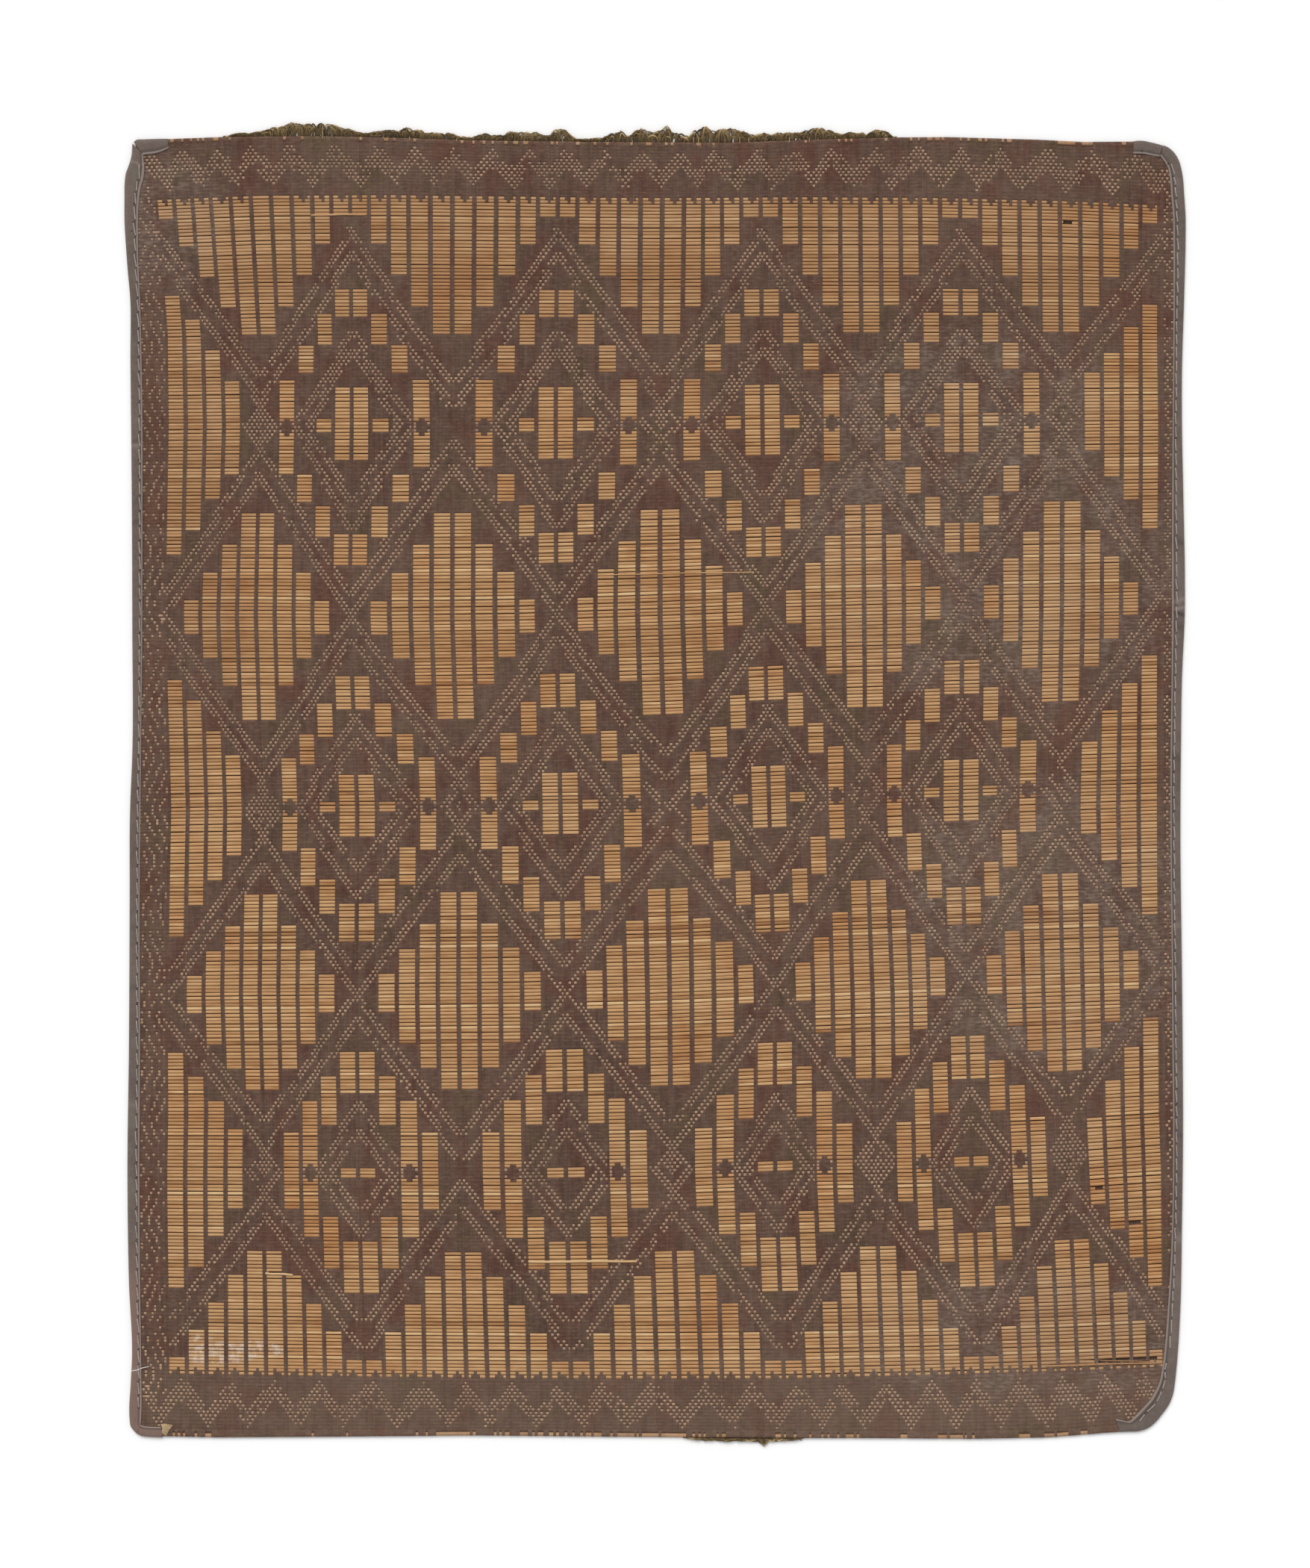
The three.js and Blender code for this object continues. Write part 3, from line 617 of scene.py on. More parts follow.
class Finish:
    # a short way to lay out a shader's nodes: each shade or wash goes over the colour so far
    def __init__(self, name):
        self.material = bpy.data.materials.new(name)
        self.material.use_nodes = True
        self.tree = self.material.node_tree
        self.shader = self.tree.nodes["Principled BSDF"].inputs
        self.place = self.node("ShaderNodeTexCoord")["Object"]
        self.colour = None

    def node(self, kind, sockets={}, **settings):
        return putNode(self.tree, kind, sockets, **settings)

    def number(self, name):
        return self.node("ShaderNodeAttribute", attribute_name=name)["Fac"]

    def height(self):
        return self.node("ShaderNodeSeparateXYZ", {"Vector": self.place})["Z"]

    def math(self, kind, a, b, clamp=False):
        return self.node("ShaderNodeMath", {0: a, 1: b}, operation=kind, use_clamp=clamp)[0]

    def times(self, a, b):
        return self.math("MULTIPLY", a, b)

    def stretch(self, scale, offset=(0, 0, 0)):
        sockets = {"Vector": self.place, "Location": offset, "Scale": scale}
        return self.node("ShaderNodeMapping", sockets)["Vector"]

    def noise(self, scale, detail=3.0, rough=0.55, vector=None):
        return self.node("ShaderNodeTexNoise", {
            "Scale": scale, "Detail": detail, "Roughness": rough, "Vector": vector or self.place,
        })["Fac"]

    def range(self, value, low, high, toLow=0.0, toHigh=1.0):
        return self.node("ShaderNodeMapRange", {
            "Value": value, "From Min": low, "From Max": high, "To Min": toLow, "To Max": toHigh,
        })["Result"]

    def ramp(self, value, *stops):
        node = self.tree.nodes.new("ShaderNodeValToRGB")
        elements = node.color_ramp.elements
        while len(elements) < len(stops):
            elements.new(0.5)
        for element, (at, code) in zip(elements, stops):
            element.position = at
            element.color = tint(code)
        feed(self.tree, node.inputs["Fac"], value)
        self.colour = node.outputs["Color"]

    def mix(self, amount, a, b, kind="MIX"):
        return self.node("ShaderNodeMix", {0: amount, 6: a, 7: b}, data_type="RGBA", blend_type=kind)[2]

    def shade(self, amount, code, multiply=False):
        over = self.mix(1.0, self.colour, tint(code), "MULTIPLY") if multiply else tint(code)
        self.colour = self.mix(amount, self.colour, over)

    def wash(self, value, low, high, most, code, multiply=False):
        self.shade(self.range(value, low, high, 0.0, most), code, multiply)

    def bump(self, height, strength, distance, under=None):
        sockets = {"Height": height, "Strength": strength, "Distance": distance}
        if under is not None:
            sockets["Normal"] = under
        return self.node("ShaderNodeBump", sockets)["Normal"]

    def spots(self, *places):
        # 1 inside soft ellipses on the mat and 0 outside, from across, down, half width and half height
        most = None
        for across, down, wide, high in places:
            x, y = toFrame(across, down)
            scale = (1000 / wide, 1000 / high, 0.0)
            vector = self.stretch(scale, (-float(x) * scale[0], -float(y) * scale[1], 0.0))
            length = self.node("ShaderNodeVectorMath", {0: vector}, operation="LENGTH")["Value"]
            spot = self.range(length, 1.15, 0.8)
            most = spot if most is None else self.math("MAXIMUM", most, spot)
        return most

    def done(self, rough, normal=None, gloss=0.4):
        feed(self.tree, self.shader["Base Color"], self.colour)
        feed(self.tree, self.shader["Roughness"], rough)
        self.shader["Specular IOR Level"].default_value = gloss
        if normal is not None:
            self.tree.links.new(normal, self.shader["Normal"])
        return self.material


def reedStraw():
    f = Finish("reedStraw")
    fibre = f.noise(1.0, 4.0, 0.6, f.stretch((60.0, 1400.0, 1400.0)))
    patch = f.noise(1.0, 3.0, 0.6, f.stretch((26.0, 190.0, 60.0)))
    value = f.math("ADD", f.number("tone"), f.range(patch, 0.25, 0.75, -0.24, 0.24), clamp=True)
    f.ramp(value, (0.0, "986b41"), (0.22, "ae8254"), (0.5, "be9465"), (0.78, "cba272"), (1.0, "dbbb8b"))
    f.wash(f.noise(5.5, 4.0, 0.62), 0.5, 0.66, 0.7, "efd6bd", True)
    pale = f.noise(7.0, 3.0, 0.6, f.stretch((1.0, 1.0, 1.0), (4.2, 1.3, 0.0)))
    f.wash(pale, 0.5, 0.68, 0.3, "d4b58a")
    f.shade(f.spots((880, 320, 780, 210), (240, 620, 110, 420), (1440, 1790, 140, 90)), "f0eef0", True)
    # painted shade: each reed's lower sides are painted dark brown by height, where they turn from the light
    # and sink between neighbours
    f.wash(f.height(), 0.0036, 0.0029, 0.6, "80562c")
    f.wash(fibre, 0.35, 0.7, 0.4, "b08363", True)
    # the dots between the strips are greyer than the open reeds
    faint = f.range(f.noise(16.0, 4.0, 0.7), 0.3, 0.62, 0.3, 1.0)
    speck = f.range(f.noise(210.0, 1.0), 0.25, 0.6, 0.35, 1.0)
    greyed = f.mix(f.times(faint, speck), tint("6a564a"), tint("b2937a"))
    f.colour = f.mix(f.math("SUBTRACT", 0.85, f.times(f.number("shown"), 0.8)), f.colour, greyed)
    worn = f.spots((292, 1812, 52, 15), (345, 1806, 40, 12), (265, 1792, 20, 5))
    f.shade(f.times(f.times(worn, f.range(f.noise(150.0, 4.0), 0.42, 0.62)), 0.6), "d9cbbd")
    f.shade(f.times(dust(f), 0.22), "a08f7f")
    return f.done(f.range(fibre, 0.2, 0.8, 0.5, 0.7), f.bump(fibre, 0.25, 0.0003), gloss=0.25)


def dust(f):
    # the greyer bloom on the right half and lower right of the mat
    broad = f.spots(
        (1340, 760, 250, 190), (1400, 1240, 240, 190), (1300, 560, 200, 120),
        (1380, 1790, 260, 90), (1180, 700, 110, 90), (230, 300, 70, 90),
    )
    return f.times(broad, f.range(f.noise(24.0, 5.0, 0.65), 0.3, 0.75))


def stripLeather():
    f = Finish("stripLeather")
    side = f.number("side")
    warm = f.noise(1.0, 5.0, 0.66, f.stretch((17.0, 11.0, 8.0), (3.1, 0.4, 0.0)))
    patchy = f.noise(38.0, 4.0, 0.62)
    alongStrip = f.noise(1.0, 3.0, 0.6, f.stretch((430.0, 30.0, 60.0)))
    alongReed = f.noise(1.0, 3.0, 0.6, f.stretch((110.0, 340.0, 60.0)))
    fine = f.noise(520.0, 3.0, 0.6)
    f.ramp(f.noise(3.0, 5.0, 0.6), (0.3, "543d33"), (0.5, "634a3f"), (0.7, "705a4d"))
    f.wash(patchy, 0.5, 0.7, 0.4, "7c6558")
    f.wash(patchy, 0.47, 0.3, 0.5, "4a382f")
    f.wash(alongStrip, 0.5, 0.72, 0.25, "846d5e")
    f.wash(alongStrip, 0.46, 0.3, 0.3, "43342c")
    f.wash(alongReed, 0.52, 0.7, 0.45, "8f7566")
    f.wash(alongReed, 0.46, 0.32, 0.45, "45352d")
    f.colour = f.mix(1.0, f.colour, tint("ebe4df"), "MULTIPLY")
    f.wash(f.number("tone"), 0.0, 1.0, 0.3, "745e50")
    f.wash(fine, 0.45, 0.8, 0.3, "836d5e")
    f.wash(warm, 0.5, 0.6, 1.0, "f9e4de", True)
    f.wash(warm, 0.47, 0.37, 1.0, "f2fbe9", True)
    f.shade(f.times(f.spots((860, 1870, 900, 60)), 0.22), "83705f")
    bloom = dust(f)
    f.shade(f.times(bloom, 0.24), "84766b")
    f.shade(f.times(f.times(bloom, f.range(alongReed, 0.48, 0.58)), 0.3), "a09184")
    # painted shade: the strips are painted darker where they sink into the dips between reeds and behind them
    f.shade(f.range(f.height(), 0.0037, 0.0047, 0.35, 0.0), "35271f")
    crown = f.times(f.times(side, f.math("SUBTRACT", 1.0, side)), 4.0)
    normal = f.bump(fine, 0.3, 0.0002, f.bump(crown, 0.45, 0.0005))
    return f.done(f.range(fine, 0.2, 0.8, 0.6, 0.8), normal, gloss=0.2)


def bindingLeather():
    f = Finish("bindingLeather")
    fold = f.number("fold")
    grain = f.noise(260.0, 4.0, 0.65)
    crease = f.noise(1.0, 4.0, 0.6, f.stretch((90.0, 26.0, 30.0)))
    mottle = f.noise(1.0, 4.0, 0.6, f.stretch((70.0, 30.0, 30.0), (0.7, 1.9, 0.0)))
    f.ramp(f.noise(9.0, 5.0, 0.65), (0.3, "554943"), (0.5, "60544d"), (0.7, "6d6059"))
    f.wash(f.noise(34.0, 4.0, 0.6), 0.5, 0.75, 0.4, "776b62")
    f.shade(f.spots((180, 640, 60, 620)), "faf4f2", True)
    f.wash(mottle, 0.5, 0.68, 0.45, "665049")
    f.wash(mottle, 0.46, 0.32, 0.4, "6b675c")
    f.shade(f.times(f.spots((194, 1866, 52, 190)), 0.85), "7b6156")
    f.wash(grain, 0.4, 0.75, 0.25, "8a7e76")
    # painted shade where a crease dips and in the groove by the inner edge, and a painted highlight where a
    # crease rises
    f.wash(fold, 0.0, -0.5, 0.6, "3a302b")
    f.wash(fold, 0.0, 0.5, 0.45, "9b8f86")
    f.shade(f.times(f.number("lip"), 0.6), "9a8c85")
    normal = f.bump(grain, 0.3, 0.0003, f.bump(crease, 0.4, 0.0012))
    return f.done(f.range(grain, 0.2, 0.8, 0.5, 0.7), normal, gloss=0.25)


def thongLeather():
    f = Finish("thongLeather")
    fine = f.noise(300.0)
    tone = f.number("tone")
    f.ramp(tone, (0.0, "30261b"), (0.3, "55462f"), (0.6, "766243"), (0.85, "978059"), (1.0, "c6af89"))
    f.wash(fine, 0.35, 0.75, 0.4, "a89a88", True)
    return f.done(f.range(fine, 0.2, 0.8, 0.6, 0.8), f.bump(fine, 0.4, 0.0004), gloss=0.2)


def grained(name, grain, stops, rough, bump=None, gloss=0.4, along=None):
    # a plain finish: one noise for its colour, roughness and bump
    f = Finish(name)
    fine = f.noise(*grain, vector=along and f.stretch(along))
    f.ramp(fine, *stops)
    return f.done(f.range(fine, 0.2, 0.8, *rough), bump and f.bump(fine, *bump), gloss)


straw, stripFinish, bindingFinish, fringeFinish = [
    make() for make in (reedStraw, stripLeather, bindingLeather, thongLeather)
]
paleStops = [(0.3, "8a7e75"), (0.6, "a0948a"), (0.8, "b2a69b")]
paleFinish = grained("paleThong", (240.0,), paleStops, (0.5, 0.7), (0.3, 0.0002))
whiteStops = [(0.3, "c9c2ba"), (0.6, "f3f0eb")]
twist = (900.0, 2200.0, 900.0)
threadFinish = grained("whiteThread", (1.0, 2.0, 0.5), whiteStops, (0.6, 0.8), (0.5, 0.0002), along=twist)
# painted shade: the near-black finish of the lenses that stand for the shade inside the stitch holes
holeShadeStops = [(0.3, "261d19"), (0.7, "3a302a")]
holeShadeFinish = grained("stitchHoleShade", (500.0, 2.0), holeShadeStops, (0.8, 0.95), gloss=0.1)
tanStops = [(0.3, "8a7353"), (0.55, "a98f6b"), (0.8, "c0a982")]
tanFinish = grained("tornTan", (180.0, 4.0, 0.6), tanStops, (0.6, 0.8), (0.4, 0.0004))
ribbonTree, rodTree, thongTree = sweepTree("ribbons", 2), sweepTree("rods", 8), sweepTree("thongs", 5)

# Reeds: guide lines clipped to the inside of the bindings, with a point behind every divider
reedSizes = {
    "inset": 4.5,
    "jitter": 0.12,
    "bend": 0.3,
    "tremble": 0.12,
    "widthSpread": 0.025,
    "width": (3.2, 4.7),  # least and most
    "usualWidth": 4.2,
    "tone": (0.52, 0.17),  # middle and spread
    "dividerMiddle": 0.9,
    "seed": 11,
    # places where a length of reed is broken out: down, from across, to across
    "missing": [
        (296, 1424, 1436), (1592, 1467, 1477), (1638, 1512, 1528), (1819, 1470, 1550),
        (1823.6, 1492, 1540), (1705, 360, 403),
    ],
}
dice = np.random.default_rng(reedSizes["seed"])
drift = dice.normal(0, reedSizes["jitter"], weave["reeds"])
bendPhase = dice.uniform(0, 6.28, weave["reeds"])
bendSize = reedSizes["bend"] * dice.uniform(0.3, 1.0, weave["reeds"])
tremblePhase = dice.uniform(0, 6.28, weave["reeds"])
dividers = np.arange(-1, weave["columns"]) + reedSizes["dividerMiddle"]


def strayOf(reed, across):
    # how far a reed lies from its charted line
    bend = bendSize[reed] * np.sin(across / 170 + bendPhase[reed])
    return drift[reed] + bend + reedSizes["tremble"] * np.sin(across / 31 + tremblePhase[reed])


def crossings(reedAt, columnAt, offset, count):
    # where lines counted in reeds and lines counted in columns cross on the bent mat
    across = np.full(count, weave["middle"])
    for _ in range(3):
        down = downOf(reedAt, across)
        across = acrossOf(columnAt, down) + offset
    return across, down


def reedLine(reed):
    roughDown = downOf(reed + 0.5, np.array([180.0, 1580.0]))
    left = float(alongTable(outline["left"], roughDown[0])) + reedSizes["inset"]
    right = float(alongTable(outline["right"], roughDown[1])) - reedSizes["inset"]
    outer = np.minimum(dividers, 0.0) * 20.0
    across, _ = crossings(reed + 0.5, np.maximum(dividers, 0.0), outer, len(dividers))
    across = np.concatenate([[left], across[(across > left + 4) & (across < right - 4)], [right]])
    pitch = downOf(reed + 1.0, across) - downOf(reed, across)
    share = min(weave["reedShare"] * (1 + dice.normal(0, reedSizes["widthSpread"])), 0.98)
    middle = weave["reedTop"] - weave["reedHeight"] / 2
    line = toPoints(across, downOf(reed + 0.5, across) + strayOf(reed, across), middle)
    return line, np.clip(pitch * share, *reedSizes["width"]) / 1000


def reedParts(reed, line, girth):
    # a reed is one length, or two where a length is broken out
    for at, start, end in reedSizes["missing"]:
        if abs(float(downOf(reed + 0.5, (start + end) / 2)) - at) < 2.2:
            cuts = [float(toFrame(v, at)[0]) for v in (start, end)]
            before, after = line[line[:, 0] < cuts[0] - 0.002], line[line[:, 0] > cuts[1] + 0.002]
            before, after = np.vstack([before, before[-1]]), np.vstack([after[0], after])
            before[-1, 0], after[0, 0] = cuts
            return [(before, girth.mean()), (after, girth.mean())]
    return [(line, girth)]


def markShown(piece):
    # a face is marked where its reed lies open in a block of the pattern, not only as a dot between strips
    mesh = piece.data
    across = readAll(mesh.polygons, "center", 3)[::3].astype(float) * 1000 + layout["width"] / 2
    corners = readAll(mesh.loops, "vertex_index", kind=np.int32)
    starts = readAll(mesh.polygons, "loop_start", kind=np.int32)
    reed = np.rint(readAll(mesh.attributes["count"].data, "value")[corners[starts]]).astype(int)
    shown = np.zeros(len(across), np.float32)
    for r in np.unique(reed):
        picked = np.nonzero(reed == r)[0]
        lineDown = float(downOf(r + 0.5, across[picked].mean()))
        column = np.searchsorted(acrossOf(np.maximum(dividers, 0.0), lineDown), across[picked]) - 1
        inField = (column >= 0) & (column < weave["columns"])
        strips = np.clip(column, 0, weave["columns"] - 1) * weave["stripsInColumn"] - firstStrip
        openHere = openField[strips + 1, r] | openField[strips + 4, r]
        shown[picked] = inField & openHere
    mesh.attributes.new("shown", "FLOAT", "FACE").data.foreach_set("value", shown)


for name, first, last in (("reeds_upper", 0, 186), ("reeds_lower", 186, weave["reeds"])):
    lines, girths, tones, counts = [], [], [], []
    for reed in range(first, last):
        line, girth = reedLine(reed)
        tone = float(np.clip(dice.normal(*reedSizes["tone"]), 0.05, 0.95))
        for part, wide in reedParts(reed, line, girth):
            lines.append(part)
            girths.append(wide)
            tones.append(tone)
            counts.append(float(reed))
    flatness = weave["reedHeight"] / reedSizes["usualWidth"]
    piece = sweep(name, rodTree, straw, lines, 1.0, flatness, girth=girths, tone=tones, count=counts)
    markShown(piece)
    report(name)

# The end rods, and how the ends of the strips lie over them
rods = {
    "inset": 3.1,
    "height": 5.6,
    "top": 5.9,
    "cover": 0.3,
    "thick": 5.3,
    # places in from the edge and heights of a strip's end that folds over, and heights of a worn one
    "foldAt": (0.1, 0.7, 3.1, 6.0),
    "fold": [0.7, 4.3, 5.9, 4.3],
    "stump": [0.25, 0.25, 0.25, 3.4],
    # stretches where strips are worn away over the end rods: from, to, share that is gone
    "topWorn": [
        (190, 246, 0.45), (246, 300, 0.3), (300, 410, 0.2), (412, 424, 0.6), (424, 640, 0.18),
        (640, 1240, 0.14), (1240, 1332, 0.4), (1343, 1355, 0.85), (1414, 1441, 0.9), (1450, 1468, 0.9),
        (1502, 1513, 0.85),
    ],
    "bottomWorn": [
        (215, 250, 0.2), (262, 292, 0.5), (400, 520, 0.12), (529, 583, 0.3), (583, 637, 0.85),
        (660, 694, 0.25), (695, 710, 0.9), (712, 860, 0.6), (860, 918, 0.95), (926, 947, 0.5),
        (960, 1090, 0.15), (1098, 1123, 0.5), (1132, 1151, 0.9), (1207, 1218, 0.9), (1253, 1294, 0.85),
        (1302, 1307, 0.8), (1348, 1354, 0.8), (1366, 1384, 0.85), (1399, 1434, 0.9), (1446, 1458, 0.8),
    ],
}

# Strips: each is one ribbon that goes over the reeds, dives behind the open ones and folds round the rods
stripSizes = {
    "seed": 23,
    "wobble": 0.12,
    "lift": (-0.08, 0.12),  # least and most, as for the next two
    "spread": (0.96, 1.04),
    "tone": (0.0, 0.7),
    "toneWave": 0.25,
    "clear": 3.0,  # least distance from the left and right edge of the mat
    "endWidth": 0.95,
    "leastStations": 8,
}
dice = np.random.default_rng(stripSizes["seed"])
# height and share of the width where a ribbon lies over a reed, behind one, between two, and where it dives
lies = {
    "over": (weave["overHeight"], 1.0),
    "under": (weave["underHeight"], 0.97),
    "dip": (weave["overHeight"] - weave["dip"], 1.0),
    "dive": (weave["diveHeight"], 0.92),
}


def stripPath(strip):
    over = ~behind[strip - firstStrip]
    last = weave["reeds"] - 1
    stations = []
    for reed in range(weave["reeds"]):
        if over[reed]:
            stations.append((reed + 0.5, *lies["over"]))
        elif reed in (0, last) or over[reed - 1] or over[reed + 1]:
            stations.append((reed + 0.5, *lies["under"]))
        if reed < last and (over[reed] or over[reed + 1]):
            stations.append((reed + 1.0, *lies["dip" if over[reed] and over[reed + 1] else "dive"]))
    return np.array(stations).T


def stripGuide(strip):
    reedAt, height, wide = stripPath(strip)
    columnAt, share, offset = stripPlace(strip)
    across, down = crossings(reedAt, columnAt, offset, len(reedAt))
    above = np.clip(np.ceil(reedAt - 1.0).astype(int), 0, weave["reeds"] - 1)
    below = np.clip(np.floor(reedAt).astype(int), 0, weave["reeds"] - 1)
    down = down + (strayOf(above, across) + strayOf(below, across)) / 2
    pitch = weave["borderPitch"]
    if share:
        pitch = acrossOf(columnAt + share, down) + offset - across
    wide = wide * pitch * weave["stripShare"]
    # the ends go over the end rods, or stop beside them where they are worn away
    ends = []
    for side, at, sign in (("top", across[0], 1), ("bottom", across[-1], -1)):
        edge = float(alongTable(outline[side], at))
        worn = max([gone for start, end, gone in rods[side + "Worn"] if start <= at <= end], default=0.0)
        high = rods["stump"] if dice.random() < worn else rods["fold"]
        ends.append((at, [edge + sign * t for t in rods["foldAt"]], high))
    (a0, d0, h0), (a1, d1, h1) = ends
    across = np.concatenate([[a0] * 4, across, [a1] * 4])
    down = np.concatenate([d0, down, d1[::-1]])
    height = np.concatenate([h0, height, h1[::-1]])
    wideEnds = wide[[0, -1]] * stripSizes["endWidth"]
    width = np.concatenate([[wideEnds[0]] * 4, wide, [wideEnds[1]] * 4])
    left, right = [alongTable(outline[side], down) for side in ("left", "right")]
    inside = (across > left + stripSizes["clear"]) & (across < right - stripSizes["clear"])
    return across, down, height, width, inside


def longestRun(mask):
    # from where to where the longest stretch of the mask goes
    turns = np.flatnonzero(np.diff(np.concatenate([[0], mask.astype(int), [0]]))).reshape(-1, 2)
    return max(turns.tolist(), key=lambda run: run[1] - run[0], default=(0, 0))


for name, first, last in (
    ("strips_left", firstStrip, 130), ("strips_middle", 130, 274), ("strips_right", 274, lastStrip),
):
    lines, girths, tones = [], [], []
    for strip in range(first, last):
        *guide, inside = stripGuide(strip)
        start, end = longestRun(inside)
        if end - start < stripSizes["leastStations"]:
            continue
        across, down, height, width = [values[start:end] for values in guide]
        wobble = stripSizes["wobble"] * np.sin(down / 37 + strip * 1.7)
        lift = dice.uniform(*stripSizes["lift"])
        lines.append(toPoints(across + wobble, down, height + np.where(height > 3.0, lift, 0.0)))
        girths.append(width / 1000 * dice.uniform(*stripSizes["spread"]))
        base = dice.uniform(*stripSizes["tone"])
        tones.append(np.clip(base + stripSizes["toneWave"] * np.sin(down / 90 + strip), 0, 1))
    piece = sweep(name, ribbonTree, stripFinish, lines, girth=girths, tone=tones)
    turnFaces(piece, np.nonzero(readAll(piece.data.polygons, "normal", 3)[2::3] < 0)[0])
    report(name)

# End rods: a thick reed at each end that the strips fold round
for name, side, span, sign in (("rod_top", "top", (205, 1548), 1), ("rod_bottom", "bottom", (200, 1500), -1)):
    across = np.linspace(*span, 60)
    down = alongTable(outline[side], across) + sign * rods["inset"]
    line = toPoints(across, down, rods["top"] - rods["cover"] - rods["height"] / 2)
    tone, shown = 0.35 + 0.25 * np.sin(across / 23), 0.45 + 0.3 * np.sin(across / 9.0)
    sweep(name, rodTree, straw, [line], girth=[rods["thick"] / 1000], tone=[tone], shown=[shown])

# Bindings and corner patches: leather folded round the edge, from stations of outer fold and inner edge
bindings = {
    "edge_leather_left": [
        (177.7, 192.5, 192.5, 208), (176, 211, 193, 216), (172, 224, 194, 226), (169, 232, 193, 238),
        (167.3, 246, 189.5, 250), (167, 265, 187, 265), (167, 295, 185.5, 292), (169, 330, 185.5, 330),
        (171, 358, 186.3, 358), (174.5, 397, 188, 397), (175, 481, 190.3, 481), (176, 579, 191.5, 579),
        (177, 700, 191.5, 700), (177.5, 840, 191.2, 840), (177.5, 1009, 189.5, 1009),
        (174.5, 1085, 188.7, 1085), (174, 1204, 187.7, 1204), (173, 1400, 188.2, 1400),
        (171, 1575, 187.4, 1575), (173, 1716, 188.2, 1716), (177, 1821, 189.7, 1821),
        (175.5, 1850, 190, 1850), (174, 1901, 189.8, 1894), (175, 1909, 189.3, 1902),
        (180, 1916, 188.9, 1906), (184, 1920, 188.8, 1907.5),
    ],
    "edge_leather_right": [
        (1559, 195, 1553.6, 209), (1564.5, 197.6, 1556, 212), (1573, 205, 1560.5, 218.5),
        (1579, 215, 1564.5, 226), (1582, 225, 1566.5, 236), (1584.6, 240, 1567.5, 247),
        (1586, 260, 1568.5, 262), (1588, 292, 1571, 290), (1588, 316, 1571.3, 316),
        (1586, 400, 1571.5, 400), (1583, 505, 1571, 505), (1583, 560, 1570.5, 560),
        (1585, 665, 1569.8, 665), (1587, 770, 1569.5, 770), (1587, 816, 1569.5, 816),
        (1583, 911, 1569, 911), (1582, 980, 1568, 980), (1581, 1120, 1567.5, 1120),
        (1583, 1296, 1569.3, 1296), (1584, 1400, 1570, 1400), (1584.5, 1523, 1571, 1523),
        (1583, 1645, 1569.5, 1645), (1581, 1751, 1564.5, 1745), (1576, 1830, 1556.5, 1832),
        (1574, 1849, 1553, 1850), (1571, 1867, 1547.5, 1862), (1566, 1880, 1541, 1873.5),
        (1556.5, 1893.5, 1532.5, 1883), (1547, 1905, 1524.5, 1891.5), (1538, 1912, 1518.5, 1897.5),
        (1527, 1916, 1512.5, 1902.8), (1511, 1917, 1503, 1901.5), (1500, 1917.4, 1494, 1899.5),
    ],
    "patch_top_left": [
        (179.5, 190.5, 191.6, 208), (183, 187.8, 194, 207.9), (192, 187, 199.5, 207.3),
        (202, 186.6, 208.5, 206), (212, 186.3, 218, 203.2), (225, 186.2, 227, 198.6),
    ],
    "patch_top_right": [
        (1518.5, 189.7, 1517.5, 206.4), (1522, 189.0, 1522, 206.5), (1530, 188.9, 1531, 206.8),
        (1543.6, 191.5, 1543, 209), (1558.4, 195.3, 1552.7, 210.6),
    ],
    "patch_bottom_left": [
        (184.2, 1919.8, 188.6, 1907.9), (189.5, 1922.6, 194.3, 1909.4), (197, 1923.6, 201, 1910.1),
        (208, 1924.3, 209.5, 1910.3), (218, 1924.6, 216, 1910.4),
    ],
}
# the fold's section: share of the width from the outer fold, height over the floor, pale lip, painted shade
# in the groove
section = [
    (1.0, 4.75, 1.0, 0.0), (1.0, 5.6, 1.0, 0.0), (0.94, 5.95, 1.0, 0.0), (0.88, 5.9, 0.8, 0.0),
    (0.83, 5.6, 0.0, -0.55), (0.74, 5.75, 0.0, -0.3), (0.62, 6.05, 0.0, 0.0), (0.45, 6.15, 0.0, 0.0),
    (0.28, 6.15, 0.0, 0.0), (0.16, 5.95, 0.05, 0.0), (0.08, 5.3, 0.15, 0.0), (0.02, 4.4, 0.2, 0.0),
    (0.0, 3.3, 0.15, 0.0), (0.03, 1.7, 0.0, 0.0), (0.1, 0.6, 0.0, 0.0), (0.25, 0.12, 0.0, 0.0),
    (0.45, 0.05, 0.0, 0.0), (0.45, 0.42, 0.0, 0.0), (0.25, 0.6, 0.0, 0.0), (0.13, 2.2, 0.0, 0.0),
    (0.14, 4.2, 0.0, 0.0), (0.32, 4.9, 0.0, 0.0), (0.7, 4.85, 0.0, 0.0),
]
# creases that cross a binding: place down the mat, half width, height; the height also becomes painted shade
# in a dip and a painted highlight on a hump
creases = {
    "edge_leather_left": [
        (219, 1.6, 0.35), (598, 3.2, 0.3), (591, 2.4, -0.4), (700, 4, -0.3), (1322, 5, -0.3),
        (1480, 6, 0.25), (1835, 3, 0.2),
    ],
    "edge_leather_right": [
        (726, 5, -0.35), (805, 3, 0.4), (816, 2.2, 0.55), (822, 2.4, -0.7), (840, 5, -0.3), (1015, 6, -0.3),
        (1240, 5, 0.25), (1520, 6, -0.3), (1660, 6, 0.25),
    ],
}


